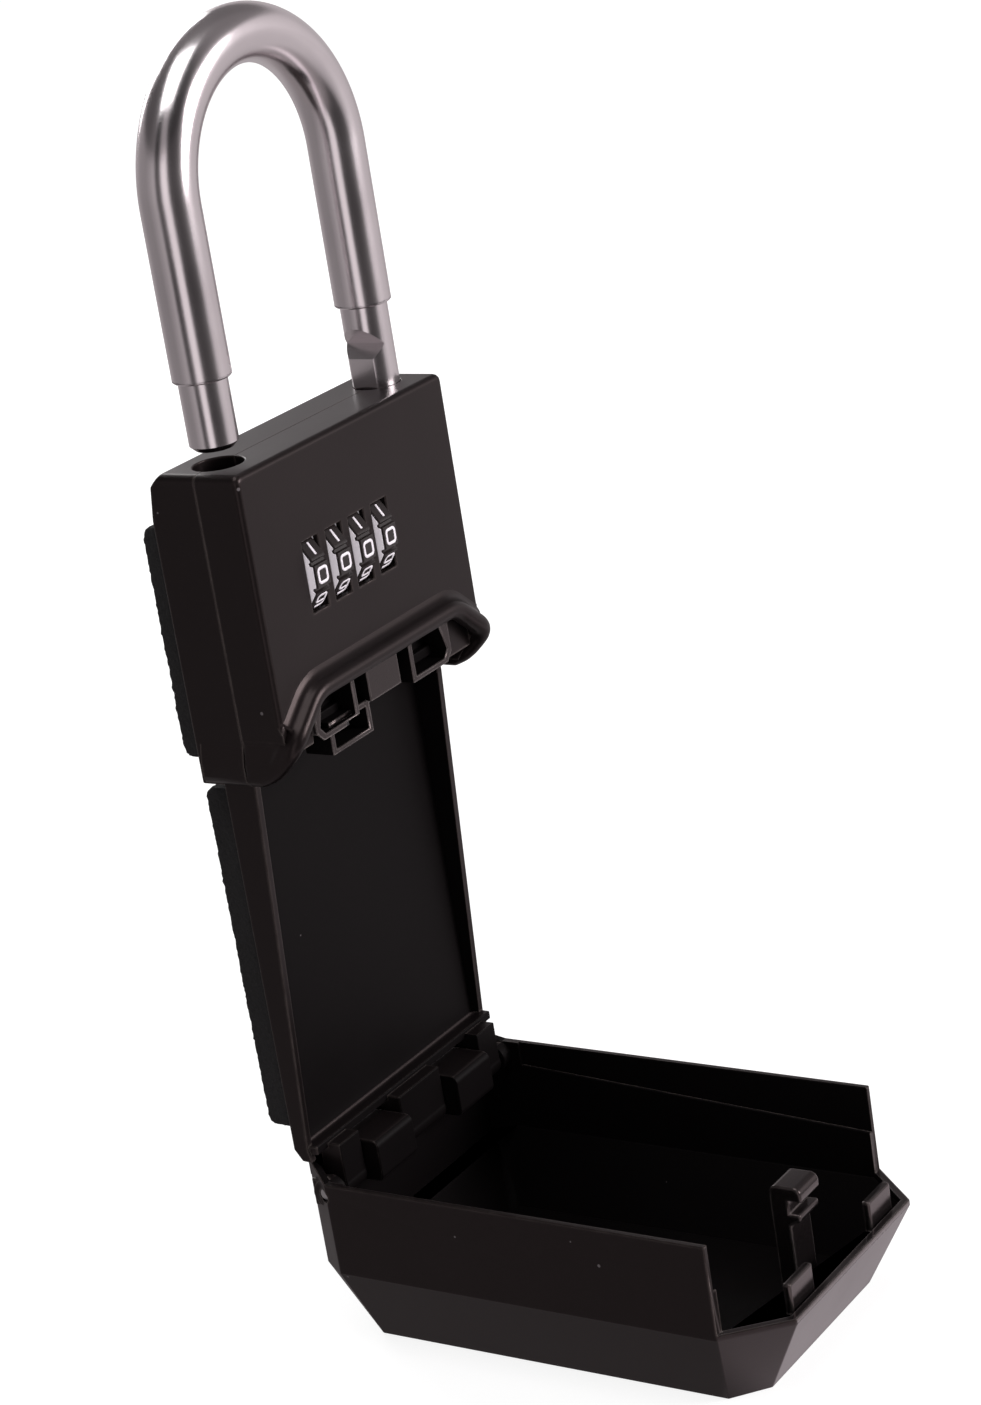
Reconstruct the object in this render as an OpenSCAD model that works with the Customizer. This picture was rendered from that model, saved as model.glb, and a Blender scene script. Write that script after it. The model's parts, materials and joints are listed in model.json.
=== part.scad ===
// Key lock box with a lifting shackle, four number dials and a drop-down door.
// It is drawn about its own axes: x across, y from front to back, z up, with the top of
// the housing at z = 0 and its front face at y = 0. at_rest() then moves every piece so
// that the origin lies under the middle of the open door on which the box stands.

/* [Housing] */
// Width of the housing
body_w = 66; // [65.6:0.2:67]
// Depth of the housing from its front face to its back face
body_d = 20.5; // [20.3:0.1:22]
// Distance of the joint between the shells behind the front face
seam_y = 9.6; // [9.5:0.1:9.7]
// Wall thickness of the shells
wall = 2; // [1.8:0.1:2]
// Radius of the upright corners
edge_r = 1.6; // [1:0.1:2]

/* [Shackle] */
// Distance between the middles of the two legs
leg_pitch = 50.4; // [50.2:0.1:50.6]
// Radius of the bow
bow_r = 5.4; // [5:0.1:5.6]
// Radius of the turned-down leg ends
leg_r = 4.5; // [4.45:0.01:4.55]
// Height of the straight thick part of each leg
straight_h = 30.4; // [20:0.2:40]

/* [Dials] */
// Number of dials
dial_n = 4; // [4:1:4]
// Distance between two dials
dial_pitch = 7.33; // [7.33:0.01:7.35]
// Outer radius of a dial
dial_r = 8.5; // [8.4:0.05:8.5]
// Thickness of a dial
dial_t = 4.3; // [4.2:0.05:4.3]

/* [Door] */
// Width of the door
door_w = 65.2; // [65.2:0.1:65.4]
// Wall thickness of the door
door_t = 1.7; // [1.5:0.1:1.8]
// Distance of the door's front panel in front of the housing's front face
door_front = 21.2; // [20:0.1:24]

// Angle by which the door stands open
door_open = 90; // [90:1:90]

/* [Tray] */
// Width of the rear tray below the housing
tray_w = 62.4; // [62:0.1:62.4]
// Thickness of the upper foam pad
pad_t = 5.8; // [5:0.1:6]

/* [Hidden] */
$fn = 48;
run = 0.06;             // radial clearance of a running fit
black = [0.09, 0.09, 0.1];
steel = [0.72, 0.72, 0.74];
brass = [0.78, 0.62, 0.32];

// Shells
half_w = body_w / 2;
cavity_x = half_w - wall;
back_y = body_d - wall;
foot_z = -52.5;         // underside of the wall below the works
works_z = foot_z + wall;
block_z = -45;          // top of the block that holds the lug pockets
block_y = 0.5;
lip_r = 1.75;           // the beaded lip above the door
lip_y = -1.4;
lip_z = -43.5;
lip_x = 23.2;
lobe_x = 31.95;
lobe_z = -50.9;
skirt_y = 5;
skirt_z = -57.25;
box_foot = -58.4;       // underside of the box round the finger tab
box_t = 1;
boss_r = 6;             // the bosses that guide the legs
toe_depth = 14.2;
heel_depth = 46;
screw_at = [[-27.2, -23], [-27.2, -43.5], [10.8, -41.2]];
screw_r = 1.25;

// Shackle, standing open
leg_x = leg_pitch / 2;
leg_y = seam_y;
lift = 15.6;            // travel between shut and open
toe_len = 12.6;
heel_len = 36;
flat_depth = 0.9;
notch_x = 3.04;         // distance of the toe notch from the middle of the leg
notch_z = -7.4;         // height of the lock bolts
neck_top = -21.2;       // measured on the shut shackle
neck_foot = -28;
neck_r = 2.66;
keeper_z = -11.2;
keeper_r = 1;
keeper_x = leg_x - leg_r + flat_depth - 0.1 - keeper_r;
keeper_y0 = 5;
keeper_y1 = 14.2;

// Dials
dial_x = -4.4;          // offset of the group from the middle of the housing
dial_y = 6.7;
dial_z = -23.75;
window_w = 4.95;
window_h = 13.5;
hub_r = 4.5;
spindle_r = 1.5;
sleeve_r = 3.2;
flange_r = 5.2;
flange_t = 0.8;
flange_gap = 1.15;
gate_w = 3;
gate_r = 3.5;
grip_n = 10;
bracket_x0 = -19.2;
bracket_x1 = 13.4;
sheet_t = 1.2;
function dial_at(i) = dial_x + (i - (dial_n - 1) / 2) * dial_pitch;

// Lock works
bolt_y = 8.4;
bolt_t = 2.4;
bolt_h = 2.6;
bolt_travel = 2.1;
rocker_arm = 3.5;
rocker_r = 0.8;
rocker_tilt = asin(bolt_travel / 2 / rocker_arm);
pivot_r = 0.9;
fence_travel = 1.9;
latch_travel = 2.6;
latch_y = 5.9;
latch_t = 2.1;
latch_w = 6;
latch_tip = -55.6;
latch_pin_z = -38.5;
latch_pin_r = 1.2;

// Door and hinge, with the door shut
hinge_y = 11.4;
hinge_z = -143.3;
hinge_r = 1.25;
door_x = door_w / 2;
door_top = 14.2;
crease_y = -4.7;
end_rim_y = -3.6;
end_z = -48.5;
end_x = 23;
side_end_z = -59.5;
foot_side_z = -142.3;
foot_end_z = -147.9;
foot_x = 29;
chamfer_x = 6.8;
hook_w = 7.5;

// Tray
tray_x = tray_w / 2;
tray_back = 17.2;
tray_floor_y = 15.7;
tray_end = -135.4;       // underside of the wall that closes the tray
tray_foot = -136.6;      // lower edge of the tray floor
rim_t = 1.6;
barrel_r = 2.6;
lower_pad_t = pad_t + 0.7;
ear_top = 17.2;         // reach of the ears that close the corners at the hinge

// The origin: under the middle of the open box
rest_z = hinge_z - hinge_y - door_front;
far_y = hinge_y + hinge_z - end_z;
origin_y = (far_y + body_d + pad_t) / 2;

module at_rest() {
    translate([0, -origin_y, -rest_z])
        children();
}

// A box given by two opposite corners
module block(a, b) {
    translate(a)
        cube(b - a);
}

// A round bar along x
module bar_x(x0, x1, y, z, r) {
    translate([x0, y, z])
        rotate([0, 90, 0])
            cylinder(r = r, h = x1 - x0);
}

// A round bar along y
module bar_y(y0, y1, x, z, r) {
    translate([x, y0, z])
        rotate([-90, 0, 0])
            cylinder(r = r, h = y1 - y0);
}

// A side profile of [y, z] points, drawn out along x
module profile_x(x0, x1, points) {
    translate([x0, 0, 0])
        rotate([90, 0, 90])
            linear_extrude(x1 - x0)
                polygon(points);
}

// A front profile of [x, z] points, drawn out along y
module profile_y(y0, y1, points) {
    translate([0, y1, 0])
        rotate([90, 0, 0])
            linear_extrude(y1 - y0)
                polygon(points);
}

// A shape drawn on the right, and its mirror image on the left
module both_sides() {
    children();
    mirror([1, 0, 0])
        children();
}

// Turns the z axis onto the line from a to b
module along(a, b) {
    v = b - a;
    translate(a)
        rotate([0, acos(v[2] / norm(v)), atan2(v[1], v[0])])
            children();
}

function unit(v) = v / norm(v);

// A coil spring that stands on z = 0
module coil(r, wire_r, len, turns) {
    linear_extrude(len, twist = -360 * turns, slices = turns * 10, $fn = 5)
        translate([r - wire_r, 0])
            circle(wire_r, $fn = 5);
}

// Points on an arc about (cx, cz)
function arc(cx, cz, r, a0, a1, n = 6) =
    [for (i = [0:n]) let(a = a0 + (a1 - a0) * i / n) [cx + r * cos(a), cz + r * sin(a)]];

// ---- what the two shells share ----

// Front outline of the housing down to the height z
function crown_line(z) = concat(
    [[-half_w, z]],
    arc(-half_w + edge_r, -edge_r, edge_r, 180, 90),
    arc(half_w - edge_r, -edge_r, edge_r, 90, 0),
    [[half_w, z]]
);

module leg_bosses(y0, y1) {
    intersection() {
        union() {
            translate([-leg_x, leg_y, -toe_depth - wall])
                cylinder(r = boss_r, h = toe_depth + wall - 1);
            translate([leg_x, leg_y, foot_z + 1])
                cylinder(r = boss_r, h = -foot_z - 2);
        }
        block([-half_w + 1, y0, foot_z], [half_w - 1, y1, 0]);
    }
}

module leg_bores() {
    translate([-leg_x, leg_y, -toe_depth])
        cylinder(r = leg_r + 0.25, h = toe_depth + 1);
    translate([leg_x, leg_y, -heel_depth])
        cylinder(r = leg_r + run, h = heel_depth + 1);
    bar_y(keeper_y0, keeper_y1, keeper_x, keeper_z, keeper_r + 0.02);
}

// Openings through the boss walls for the two lock bolts
module bolt_ways() {
    both_sides()
        block([leg_x - boss_r - 1, bolt_y - 0.15, notch_z - bolt_h / 2 - 0.15],
              [leg_x - 1, bolt_y + bolt_t + 0.15, notch_z + bolt_h / 2 + 0.15]);
}

// Slot in the bottom wall for the finger tab that draws the lock bolts
module tab_way() {
    block([-13.3, 8.2, foot_z - 4], [-6.6, 12.1, works_z + 1]);
}

module screw_bosses(y0, y1) {
    for (p = screw_at)
        bar_y(y0, y1, p[0], p[1], 2.6);
}

// The bead along the lower edge of the side, from y0 to y1
module skirt_bead(y0, y1) {
    both_sides()
        bar_y(y0, y1, lobe_x, skirt_z, lip_r);
}

// ---- front cover ----

lip_line = [
    [-lobe_x, seam_y, skirt_z], [-lobe_x, skirt_y, skirt_z], [-lobe_x, lip_y, lobe_z],
    [-lip_x, lip_y, lip_z], [lip_x, lip_y, lip_z],
    [lobe_x, lip_y, lobe_z], [lobe_x, skirt_y, skirt_z], [lobe_x, seam_y, skirt_z]
];
lip_last = len(lip_line) - 1;

// The straight stretches of the bead run a little into each other at the bends, and
// every second one is slightly thinner
lip_overlap = 0.6;

module lip_bead() {
    for (i = [0:lip_last - 1]) {
        d = unit(lip_line[i + 1] - lip_line[i]);
        a = lip_line[i] - (i == 0 ? 0 : lip_overlap) * d;
        b = lip_line[i + 1] + (i == lip_last - 1 ? 0 : lip_overlap) * d;
        along(a, b)
            cylinder(r = i % 2 == 1 ? lip_r : lip_r - 0.08, h = norm(b - a));
    }
}

// Section of the hollow sweep from the front face onto the bead:
// [height above the middle of the bead, distance in front of the face]
cove_a = 75;
cove_r = (lip_r * cos(cove_a) - lip_y) / (1 - cos(cove_a));
cove_top = (lip_r + cove_r) * sin(cove_a);
cove_line = concat(
    [[0.5, -1], [0.5, -lip_y]],
    [for (i = [0:6]) let(a = cove_a * (8 - i) / 8)
        [cove_top - cove_r * sin(a), cove_r * (1 - cos(a)) - 0.1]],
    [[cove_top, -0.6], [cove_top, -1]]
);
cove_slope = atan2(lip_z - lobe_z, lobe_x - lip_x);

module cove_run(len) {
    rotate([90, 0, 90])
        linear_extrude(len)
            polygon(cove_line);
}

// The sweep; its stretches overlap a little at the bends of the bead
module lip_cove() {
    m = 90 - cove_slope / 2;
    far = [lip_x + 20 * cos(m - 2), lip_z + 20 * sin(m - 2)];
    near = [lip_x + 20 * cos(m + 2), lip_z + 20 * sin(m + 2)];
    intersection() {
        translate([-lip_x - 5, 0, lip_z])
            rotate([90, 0, 0])
                cove_run(2 * lip_x + 10);
        profile_y(-5, 1, [[lip_x, lip_z], far, [-far[0], far[1]], [-lip_x, lip_z]]);
    }
    both_sides()
        intersection() {
            translate([lip_x, 0, lip_z])
                rotate([90, 0, 0])
                    rotate([0, 0, -cove_slope])
                        translate([-5, 0, 0])
                            cove_run(norm([lobe_x - lip_x, lobe_z - lip_z]) + 5);
            profile_y(-5, 1, [[lip_x, lip_z], near, [half_w, near[1]], [half_w, lobe_z - 1],
                [lobe_x - 1, lobe_z - 1]]);
        }
}

// Front wall down to the bead
module face_plate() {
    intersection() {
        profile_y(0, wall, concat(crown_line(lobe_z), [[lobe_x, lobe_z], [22.6, block_z], [-22.6, block_z],
            [-lobe_x, lobe_z]]));
        block([-half_w, 0, lobe_z], [half_w, wall, 0]);
    }
}

module front_shell() {
    difference() {
        profile_y(0, seam_y, crown_line(lip_z));
        block([-cavity_x, wall, lip_z - 1], [cavity_x, seam_y + 1, -wall]);
    }
    face_plate();
    both_sides() {
        profile_x(cavity_x - 1, half_w, [[0, lip_z + 1], [0, lobe_z], [skirt_y, skirt_z],
            [seam_y, skirt_z], [seam_y, lip_z + 1]]);
        block([22.6, 1.5, -53.8], [cavity_x, 4, lip_z + 2]);
    }
    block([-cavity_x, 4, foot_z], [cavity_x, seam_y, works_z]);
    lip_bead();
    lip_cove();
    screw_bosses(1, seam_y);
    leg_bosses(1, seam_y);
}

// Windows for the dials, and room for the dials behind them
module dial_windows() {
    for (i = [0:dial_n - 1])
        block([dial_at(i) - window_w / 2, -1, dial_z - window_h / 2],
              [dial_at(i) + window_w / 2, wall + 1, dial_z + window_h / 2]);
    block([bracket_x0 - 0.3, 1.3, dial_z - 9.25], [bracket_x1 + 0.5, wall + 1, dial_z + 8.75]);
}

// Block behind the bead, hollowed for the two lugs of the door
module pocket_block() {
    difference() {
        union() {
            block([-22.6, block_y, -52.4], [22.6, 6.7, block_z]);
            block([-5.1, block_y, -52.4], [5.1, seam_y, block_z]);
            both_sides()
                profile_y(block_y, 6.7, [[9, -50], [9, -54], [20.8, -54], [22.6, -52.2], [22.6, -50]]);
        }
        both_sides() {
            profile_y(-1, 5.5, [[10.2, -46], [10.2, -52.9], [19.9, -52.9], [21.2, -51.4], [19.4, -46]]);
            block([5.1, -1, -55], [9, 5.5, -46]);
        }
    }
}

// Box below the works that shields the finger tab
module release_box() {
    difference() {
        block([-17.5, 1.5, box_foot], [-4.4, 8, -52]);
        block([-16.3, 0, box_foot + box_t], [-5.6, 9, -53.2]);
    }
}

module front_cover() {
    at_rest()
        color(black)
            difference() {
                union() {
                    difference() {
                        front_shell();
                        block([-22.6, -0.4, -60], [22.6, block_y, block_z]);
                    }
                    pocket_block();
                    release_box();
                    both_sides()
                        block([5.5, 1, -34.6], [9.5, 4.6, -35.6]);
                }
                dial_windows();
                leg_bores();
                bolt_ways();
                tab_way();
                block([-16.3, 0, box_foot + box_t], [-5.6, 12, -54.1]);
                block([-13.3, 0, box_foot + box_t], [-6.6, 12, -53.2]);
                block([-latch_w / 2 - 0.12, latch_y - 0.12, foot_z - 3],
                      [latch_w / 2 + 0.12, latch_y + latch_t + 0.12, block_z + 1]);
                for (p = screw_at)
                    bar_y(3.2, seam_y + 1, p[0], p[1], screw_r + 0.02);
            }
}

// ---- rear case ----

// Outline of the housing seen from the side
back_line = [[seam_y, 0], [body_d - 2.9, 0], [body_d - 0.9, -2.2], [body_d, -8.5], [body_d, -59],
    [tray_floor_y, -59], [tray_floor_y, foot_z], [seam_y, foot_z]];

module rear_shell() {
    difference() {
        intersection() {
            profile_y(seam_y, body_d, crown_line(-59));
            profile_x(-half_w, half_w, back_line);
        }
        profile_x(-cavity_x, cavity_x, [[seam_y - 1, -wall], [body_d - 4.6, -wall],
            [back_y - 0.9, -3.8], [back_y, -8.4], [back_y, works_z], [seam_y - 1, works_z]]);
    }
    both_sides()
        block([cavity_x, seam_y, skirt_z], [half_w, body_d - 1, foot_z + 1]);
    skirt_bead(seam_y, body_d - 1);
}

// Shallow tray that forms the back of the key compartment
module tray() {
    profile_x(-tray_x + 0.5, tray_x - 0.5, [[tray_floor_y, foot_z], [tray_floor_y, tray_foot],
        [16, tray_foot], [tray_back, -134.6], [tray_back, foot_z]]);
    both_sides()
        profile_x(tray_x - rim_t, tray_x, [[10, -55], [10, -60], [13.9, -134.2], [13.4, -137],
            [15.6, -136.9], [tray_back, -134.6], [tray_back, -55]]);
    block([-tray_x + 0.5, 12, tray_end], [tray_x - 0.5, tray_floor_y + 0.5, tray_end + 1.7]);
}

module hinge_barrels() {
    for (x = [[-27.4, -21], [-7, 7], [21, 27.4]]) {
        bar_x(x[0], x[1], hinge_y, hinge_z, barrel_r);
        block([x[0], hinge_y - 2.4, hinge_z], [x[1], hinge_y + barrel_r, tray_end + 1]);
    }
}

module rear_case() {
    at_rest()
        color(black)
            difference() {
                union() {
                    rear_shell();
                    tray();
                    hinge_barrels();
                    leg_bosses(seam_y, back_y + 0.5);
                    screw_bosses(seam_y, back_y + 1);
                    both_sides()
                        block([5.5, 9, -37.6], [9.5, back_y + 0.5, -36.4]);
                    block([-9.5, 15.5, -16], [-7.5, back_y + 0.5, -14.8]);
                    for (x = [-12, 6])
                        bar_y(17.3, back_y + 0.5, x, -31.5, 1.1);
                }
                leg_bores();
                bolt_ways();
                tab_way();
                bar_x(-30, 30, hinge_y, hinge_z, hinge_r + 0.02);
                for (p = screw_at) {
                    bar_y(0, body_d + 1, p[0], p[1], screw_r + 0.05);
                    bar_y(body_d - 1.6, body_d + 1, p[0], p[1], 2.3);
                }
            }
}

// ---- pads, screws and hinge pin ----

module pad(half_x, y0, t, z0, z1) {
    translate([0, y0, 0])
        profile_x(-half_x, half_x, concat([[0, z0]], [[0, z1]],
            [for (i = [0:6]) let(a = 90 - 15 * i) [t - 2 + 2 * cos(a), z1 - 2 + 2 * sin(a)]],
            [for (i = [0:6]) let(a = -15 * i) [t - 2 + 2 * cos(a), z0 + 2 + 2 * sin(a)]]));
}

module upper_back_pad() {
    at_rest()
        color([0.08, 0.08, 0.08])
            pad(30.5, body_d, pad_t, -55.5, -10.5);
}

module lower_back_pad() {
    at_rest()
        color([0.08, 0.08, 0.08])
            pad(30, tray_back, lower_pad_t, -131, -61);
}

module cover_screws() {
    at_rest()
        color(steel)
            for (p = screw_at)
                difference() {
                    union() {
                        bar_y(4, body_d - 0.2, p[0], p[1], screw_r);
                        bar_y(body_d - 1.5, body_d - 0.1, p[0], p[1], 2.2);
                    }
                    block([p[0] - 1.6, body_d - 0.7, p[1] - 0.3], [p[0] + 1.6, body_d + 1, p[1] + 0.3]);
                }
}

module hinge_pin() {
    at_rest()
        color(steel)
            bar_x(-31.2, 31.2, hinge_y, hinge_z, hinge_r);
}

// ---- dials ----

module dial_bracket() {
    at_rest()
        color(steel)
            difference() {
                union() {
                    block([bracket_x0, back_y - sheet_t, -34], [bracket_x1, back_y, -14.5]);
                    block([bracket_x0, 2.8, -28.5], [bracket_x0 + sheet_t, back_y, -19]);
                    block([bracket_x1 - sheet_t, 2.8, -28.5], [bracket_x1, back_y, -19]);
                }
                bar_x(bracket_x0 - 1, bracket_x1 + 1, dial_y, dial_z, spindle_r + 0.02);
                for (x = [-12, 6])
                    bar_y(16, 20, x, -31.5, 1.15);
                block([-9.7, 16, -16.2], [-7.3, 20, -14]);
            }
}

module dial_spindle() {
    at_rest()
        color(steel) {
            difference() {
                bar_x(-20.9, bracket_x1, dial_y, dial_z, spindle_r);
                difference() {
                    bar_x(-20.3, -19.5, dial_y, dial_z, spindle_r + 1);
                    bar_x(-20.4, -19.4, dial_y, dial_z, 1.1);
                }
            }
            bar_x(bracket_x1, bracket_x1 + 0.8, dial_y, dial_z, 2.2);
        }
}

module spindle_clip() {
    at_rest()
        color(steel)
            difference() {
                bar_x(-20.2, -19.6, dial_y, dial_z, 2.6);
                bar_x(-20.5, -19.3, dial_y, dial_z, 1.12);
                block([-21, dial_y - 0.9, dial_z - 4], [-19, dial_y + 0.9, dial_z]);
            }
}

module detent_spring() {
    at_rest()
        color(steel) {
            block([dial_at(0) - 1.5, 16.7, -19], [dial_at(dial_n - 1) + 1.5, 17.3, -16.4]);
            for (i = [0:dial_n - 1]) {
                block([dial_at(i) - 1.5, 16, dial_z + 2.3], [dial_at(i) + 1.5, 16.8, -18]);
                bar_x(dial_at(i) - 1.5, dial_at(i) + 1.5, 15.6, dial_z + 2.9, 0.6);
            }
        }
}

module dial_wheel(i) {
    at_rest()
        color(black)
            difference() {
                bar_x(dial_at(i) - dial_t / 2, dial_at(i) + dial_t / 2, dial_y, dial_z, dial_r);
                bar_x(dial_at(i) - dial_t, dial_at(i) + dial_t, dial_y, dial_z, hub_r + 0.04);
                for (k = [0:grip_n - 1])
                    translate([0, dial_y, dial_z])
                        rotate([360 * (k + 0.5) / grip_n, 0, 0])
                            bar_x(dial_at(i) - dial_t, dial_at(i) + dial_t, dial_r + 0.15, 0, 0.55);
            }
}

module gate_sleeve(i) {
    x = dial_at(i);
    at_rest()
        color(brass)
            difference() {
                union() {
                    bar_x(x - dial_t / 2, x + dial_t / 2, dial_y, dial_z, hub_r);
                    bar_x(x, x + dial_pitch - dial_t / 2 - 0.1, dial_y, dial_z, sleeve_r);
                    bar_x(x + dial_t / 2 + flange_gap, x + dial_t / 2 + flange_gap + flange_t,
                        dial_y, dial_z, flange_r);
                }
                bar_x(x - dial_t, x + dial_pitch, dial_y, dial_z, spindle_r + run);
                block([x + dial_t / 2 + 0.1, dial_y - gate_w / 2, dial_z - flange_r - 1],
                      [x + dial_pitch, dial_y + gate_w / 2, dial_z - gate_r]);
            }
}

module dial_wheel_1() {
    dial_wheel(0);
}

module dial_wheel_2() {
    dial_wheel(1);
}

module dial_wheel_3() {
    dial_wheel(2);
}

module dial_wheel_4() {
    dial_wheel(3);
}

module gate_sleeve_1() {
    gate_sleeve(0);
}

module gate_sleeve_2() {
    gate_sleeve(1);
}

module gate_sleeve_3() {
    gate_sleeve(2);
}

module gate_sleeve_4() {
    gate_sleeve(3);
}

// ---- door latch ----

module fence_slide() {
    at_rest()
        color(steel)
            difference() {
                union() {
                    block([-17, 4.7, -36.2], [11, 8.7, -33]);
                    block([-5.5, 3.5, -43.4], [3, 4.9, -33]);
                    for (i = [0:dial_n - 1])
                        block([dial_at(i) + 2.35, 5.5, -33.5], [dial_at(i) + 3.15, 7.9, dial_z - 3.9]);
                }
                hull()
                    for (t = [0, 1])
                        bar_y(3, 5.5, -t * fence_travel, latch_pin_z - t * latch_travel,
                            latch_pin_r + run);
            }
}

module fence_spring() {
    at_rest()
        color(steel)
            translate([-30.8, 6.7, -34.6])
                rotate([0, 90, 0])
                    coil(1.5, 0.3, 13.7, 9);
}

module latch_bolt() {
    at_rest()
        color(steel) {
            profile_x(-latch_w / 2, latch_w / 2, [[latch_y, -37], [latch_y, latch_tip + 1.2],
                [latch_y + 0.8, latch_tip], [latch_y + latch_t, latch_tip], [latch_y + latch_t, -37]]);
            bar_y(3.3, latch_y + 1, 0, latch_pin_z, latch_pin_r);
        }
}

// ---- shackle lock ----

bar_top = -2.3;

module toe_bolt() {
    at_rest()
        color(brass)
            difference() {
                union() {
                    block([-19.9, bolt_y, notch_z - bolt_h / 2], [-10, bolt_y + bolt_t, notch_z + bolt_h / 2]);
                    block([-12.5, bolt_y, notch_z - bolt_h / 2], [-10, bolt_y + bolt_t, bar_top]);
                    block([-12.5, bolt_y, -5], [3.2, bolt_y + bolt_t, bar_top]);
                }
                block([bolt_travel / 2 - rocker_r - 0.1, bolt_y - 1, -6],
                      [bolt_travel / 2 + rocker_r + 0.1, bolt_y + bolt_t + 1, -3]);
            }
}

module heel_bolt() {
    at_rest()
        color(brass)
            difference() {
                union() {
                    block([10.5, bolt_y, notch_z - bolt_h / 2], [20.3, bolt_y + bolt_t, notch_z + bolt_h / 2]);
                    block([10.5, bolt_y, -12.4], [12.5, bolt_y + bolt_t, bar_top]);
                    block([-3.2, bolt_y, -12.4], [12.5, bolt_y + bolt_t, -9.8]);
                    block([13.9, 9.4, -46.9], [16.4, 11.8, notch_z + bolt_h / 2]);
                    block([-13, 9.8, -49.5], [16.4, 11.8, -46.5]);
                    block([-13, 9.8, -55.6], [-9, 11.8, -46.5]);
                    block([-13, 3.5, -55.6], [-9, 11.8, -53.6]);
                }
                block([-bolt_travel / 2 - rocker_r - 0.1, bolt_y - 1, -11.8],
                      [-bolt_travel / 2 + rocker_r + 0.1, bolt_y + bolt_t + 1, -9]);
            }
}

module bolt_rocker() {
    at_rest()
        color(steel)
            translate([0, bolt_y, notch_z])
                rotate([0, rocker_tilt, 0])
                    difference() {
                        union() {
                            bar_y(0, bolt_t, 0, 0, 1.7);
                            for (s = [-1, 1])
                                bar_y(0, bolt_t, 0, s * rocker_arm, rocker_r);
                            block([-0.6, 0, -rocker_arm], [0.6, bolt_t, rocker_arm]);
                        }
                        bar_y(-1, bolt_t + 1, 0, 0, pivot_r + run);
                    }
}

module rocker_pivot() {
    at_rest()
        color(steel)
            bar_y(wall - 0.5, back_y + 0.5, 0, notch_z, pivot_r);
}

module bolt_spring() {
    at_rest()
        color(steel)
            translate([3.4, bolt_y + bolt_t / 2, -3.9])
                rotate([0, 90, 0])
                    coil(1.1, 0.25, 6.9, 6);
}

// ---- shackle, drawn shut and lifted into place ----

module shackle() {
    at_rest()
        color(steel)
            translate([0, leg_y, lift])
                difference() {
                    union() {
                        both_sides()
                            translate([leg_x, 0, 0])
                                cylinder(r = bow_r, h = straight_h);
                        translate([0, 0, straight_h])
                            rotate([90, 0, 0])
                                rotate_extrude(angle = 180, $fn = 64)
                                    translate([leg_x, 0])
                                        circle(bow_r);
                        translate([-leg_x, 0, 1 - toe_len])
                            cylinder(r = leg_r, h = toe_len);
                        translate([-leg_x, 0, -toe_len])
                            cylinder(r1 = leg_r - 1, r2 = leg_r, h = 1, $fn = 64);
                        translate([leg_x, 0, -heel_len])
                            cylinder(r = leg_r, h = heel_len + 1);
                    }
                    block([-leg_x + notch_x, -bow_r, notch_z - 2], [-leg_x + bow_r, bow_r, notch_z + 2.2]);
                    profile_y(-bow_r, bow_r, [[leg_x - bow_r, -3.9], [leg_x - leg_r, -3.9],
                        [leg_x - leg_r + 3.2, notch_z], [leg_x - leg_r, -11.4], [leg_x - bow_r, -11.4]]);
                    block([leg_x - bow_r, -bow_r, neck_top], [leg_x - leg_r + flat_depth, bow_r, notch_z]);
                    translate([leg_x, 0, neck_foot])
                        difference() {
                            cylinder(r = bow_r, h = neck_top - neck_foot);
                            translate([0, 0, -1])
                                cylinder(r = neck_r, h = neck_top - neck_foot + 2);
                        }
                }
}

module shackle_retaining_pin() {
    at_rest()
        color(steel)
            bar_y(keeper_y0, keeper_y1, keeper_x, keeper_z, keeper_r);
}

module heel_spring_cup() {
    at_rest()
        color(steel)
            translate([leg_x, leg_y, lift - heel_len - 1.5]) {
                cylinder(r = leg_r - 0.2, h = 1.45);
                translate([0, 0, -2])
                    cylinder(r = 2, h = 3);
            }
}

module heel_spring() {
    at_rest()
        color(steel)
            translate([leg_x, leg_y, -heel_depth])
                coil(3.6, 0.5, heel_depth + lift - heel_len - 1.5, 7);
}

// ---- door, drawn shut and swung open ----

// Outline of the walls, and outline of the flat front panel
wall_line = [[-end_x, end_z], [end_x, end_z], [door_x, side_end_z], [door_x, foot_side_z],
    [foot_x, foot_end_z], [-foot_x, foot_end_z], [-door_x, foot_side_z], [-door_x, side_end_z]];
panel_line = [[-19.7, -57.6], [19.7, -57.6], [door_x - chamfer_x, -63.4], [door_x - chamfer_x, -140],
    [22, -142.9], [-22, -142.9], [-door_x + chamfer_x, -140], [-door_x + chamfer_x, -63.4]];

module door_slope(inset, y0) {
    hull() {
        rotate([90, 0, 0])
            translate([0, 0, -crease_y])
                linear_extrude(0.01)
                    offset(delta = -inset)
                        polygon(wall_line);
        rotate([90, 0, 0])
            translate([0, 0, -y0])
                linear_extrude(0.01)
                    offset(delta = -inset)
                        polygon(panel_line);
    }
}

module door_wall(y0, y1, inset) {
    rotate([90, 0, 0])
        translate([0, 0, -y1])
            linear_extrude(y1 - y0)
                offset(delta = -inset)
                    polygon(wall_line);
}

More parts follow.
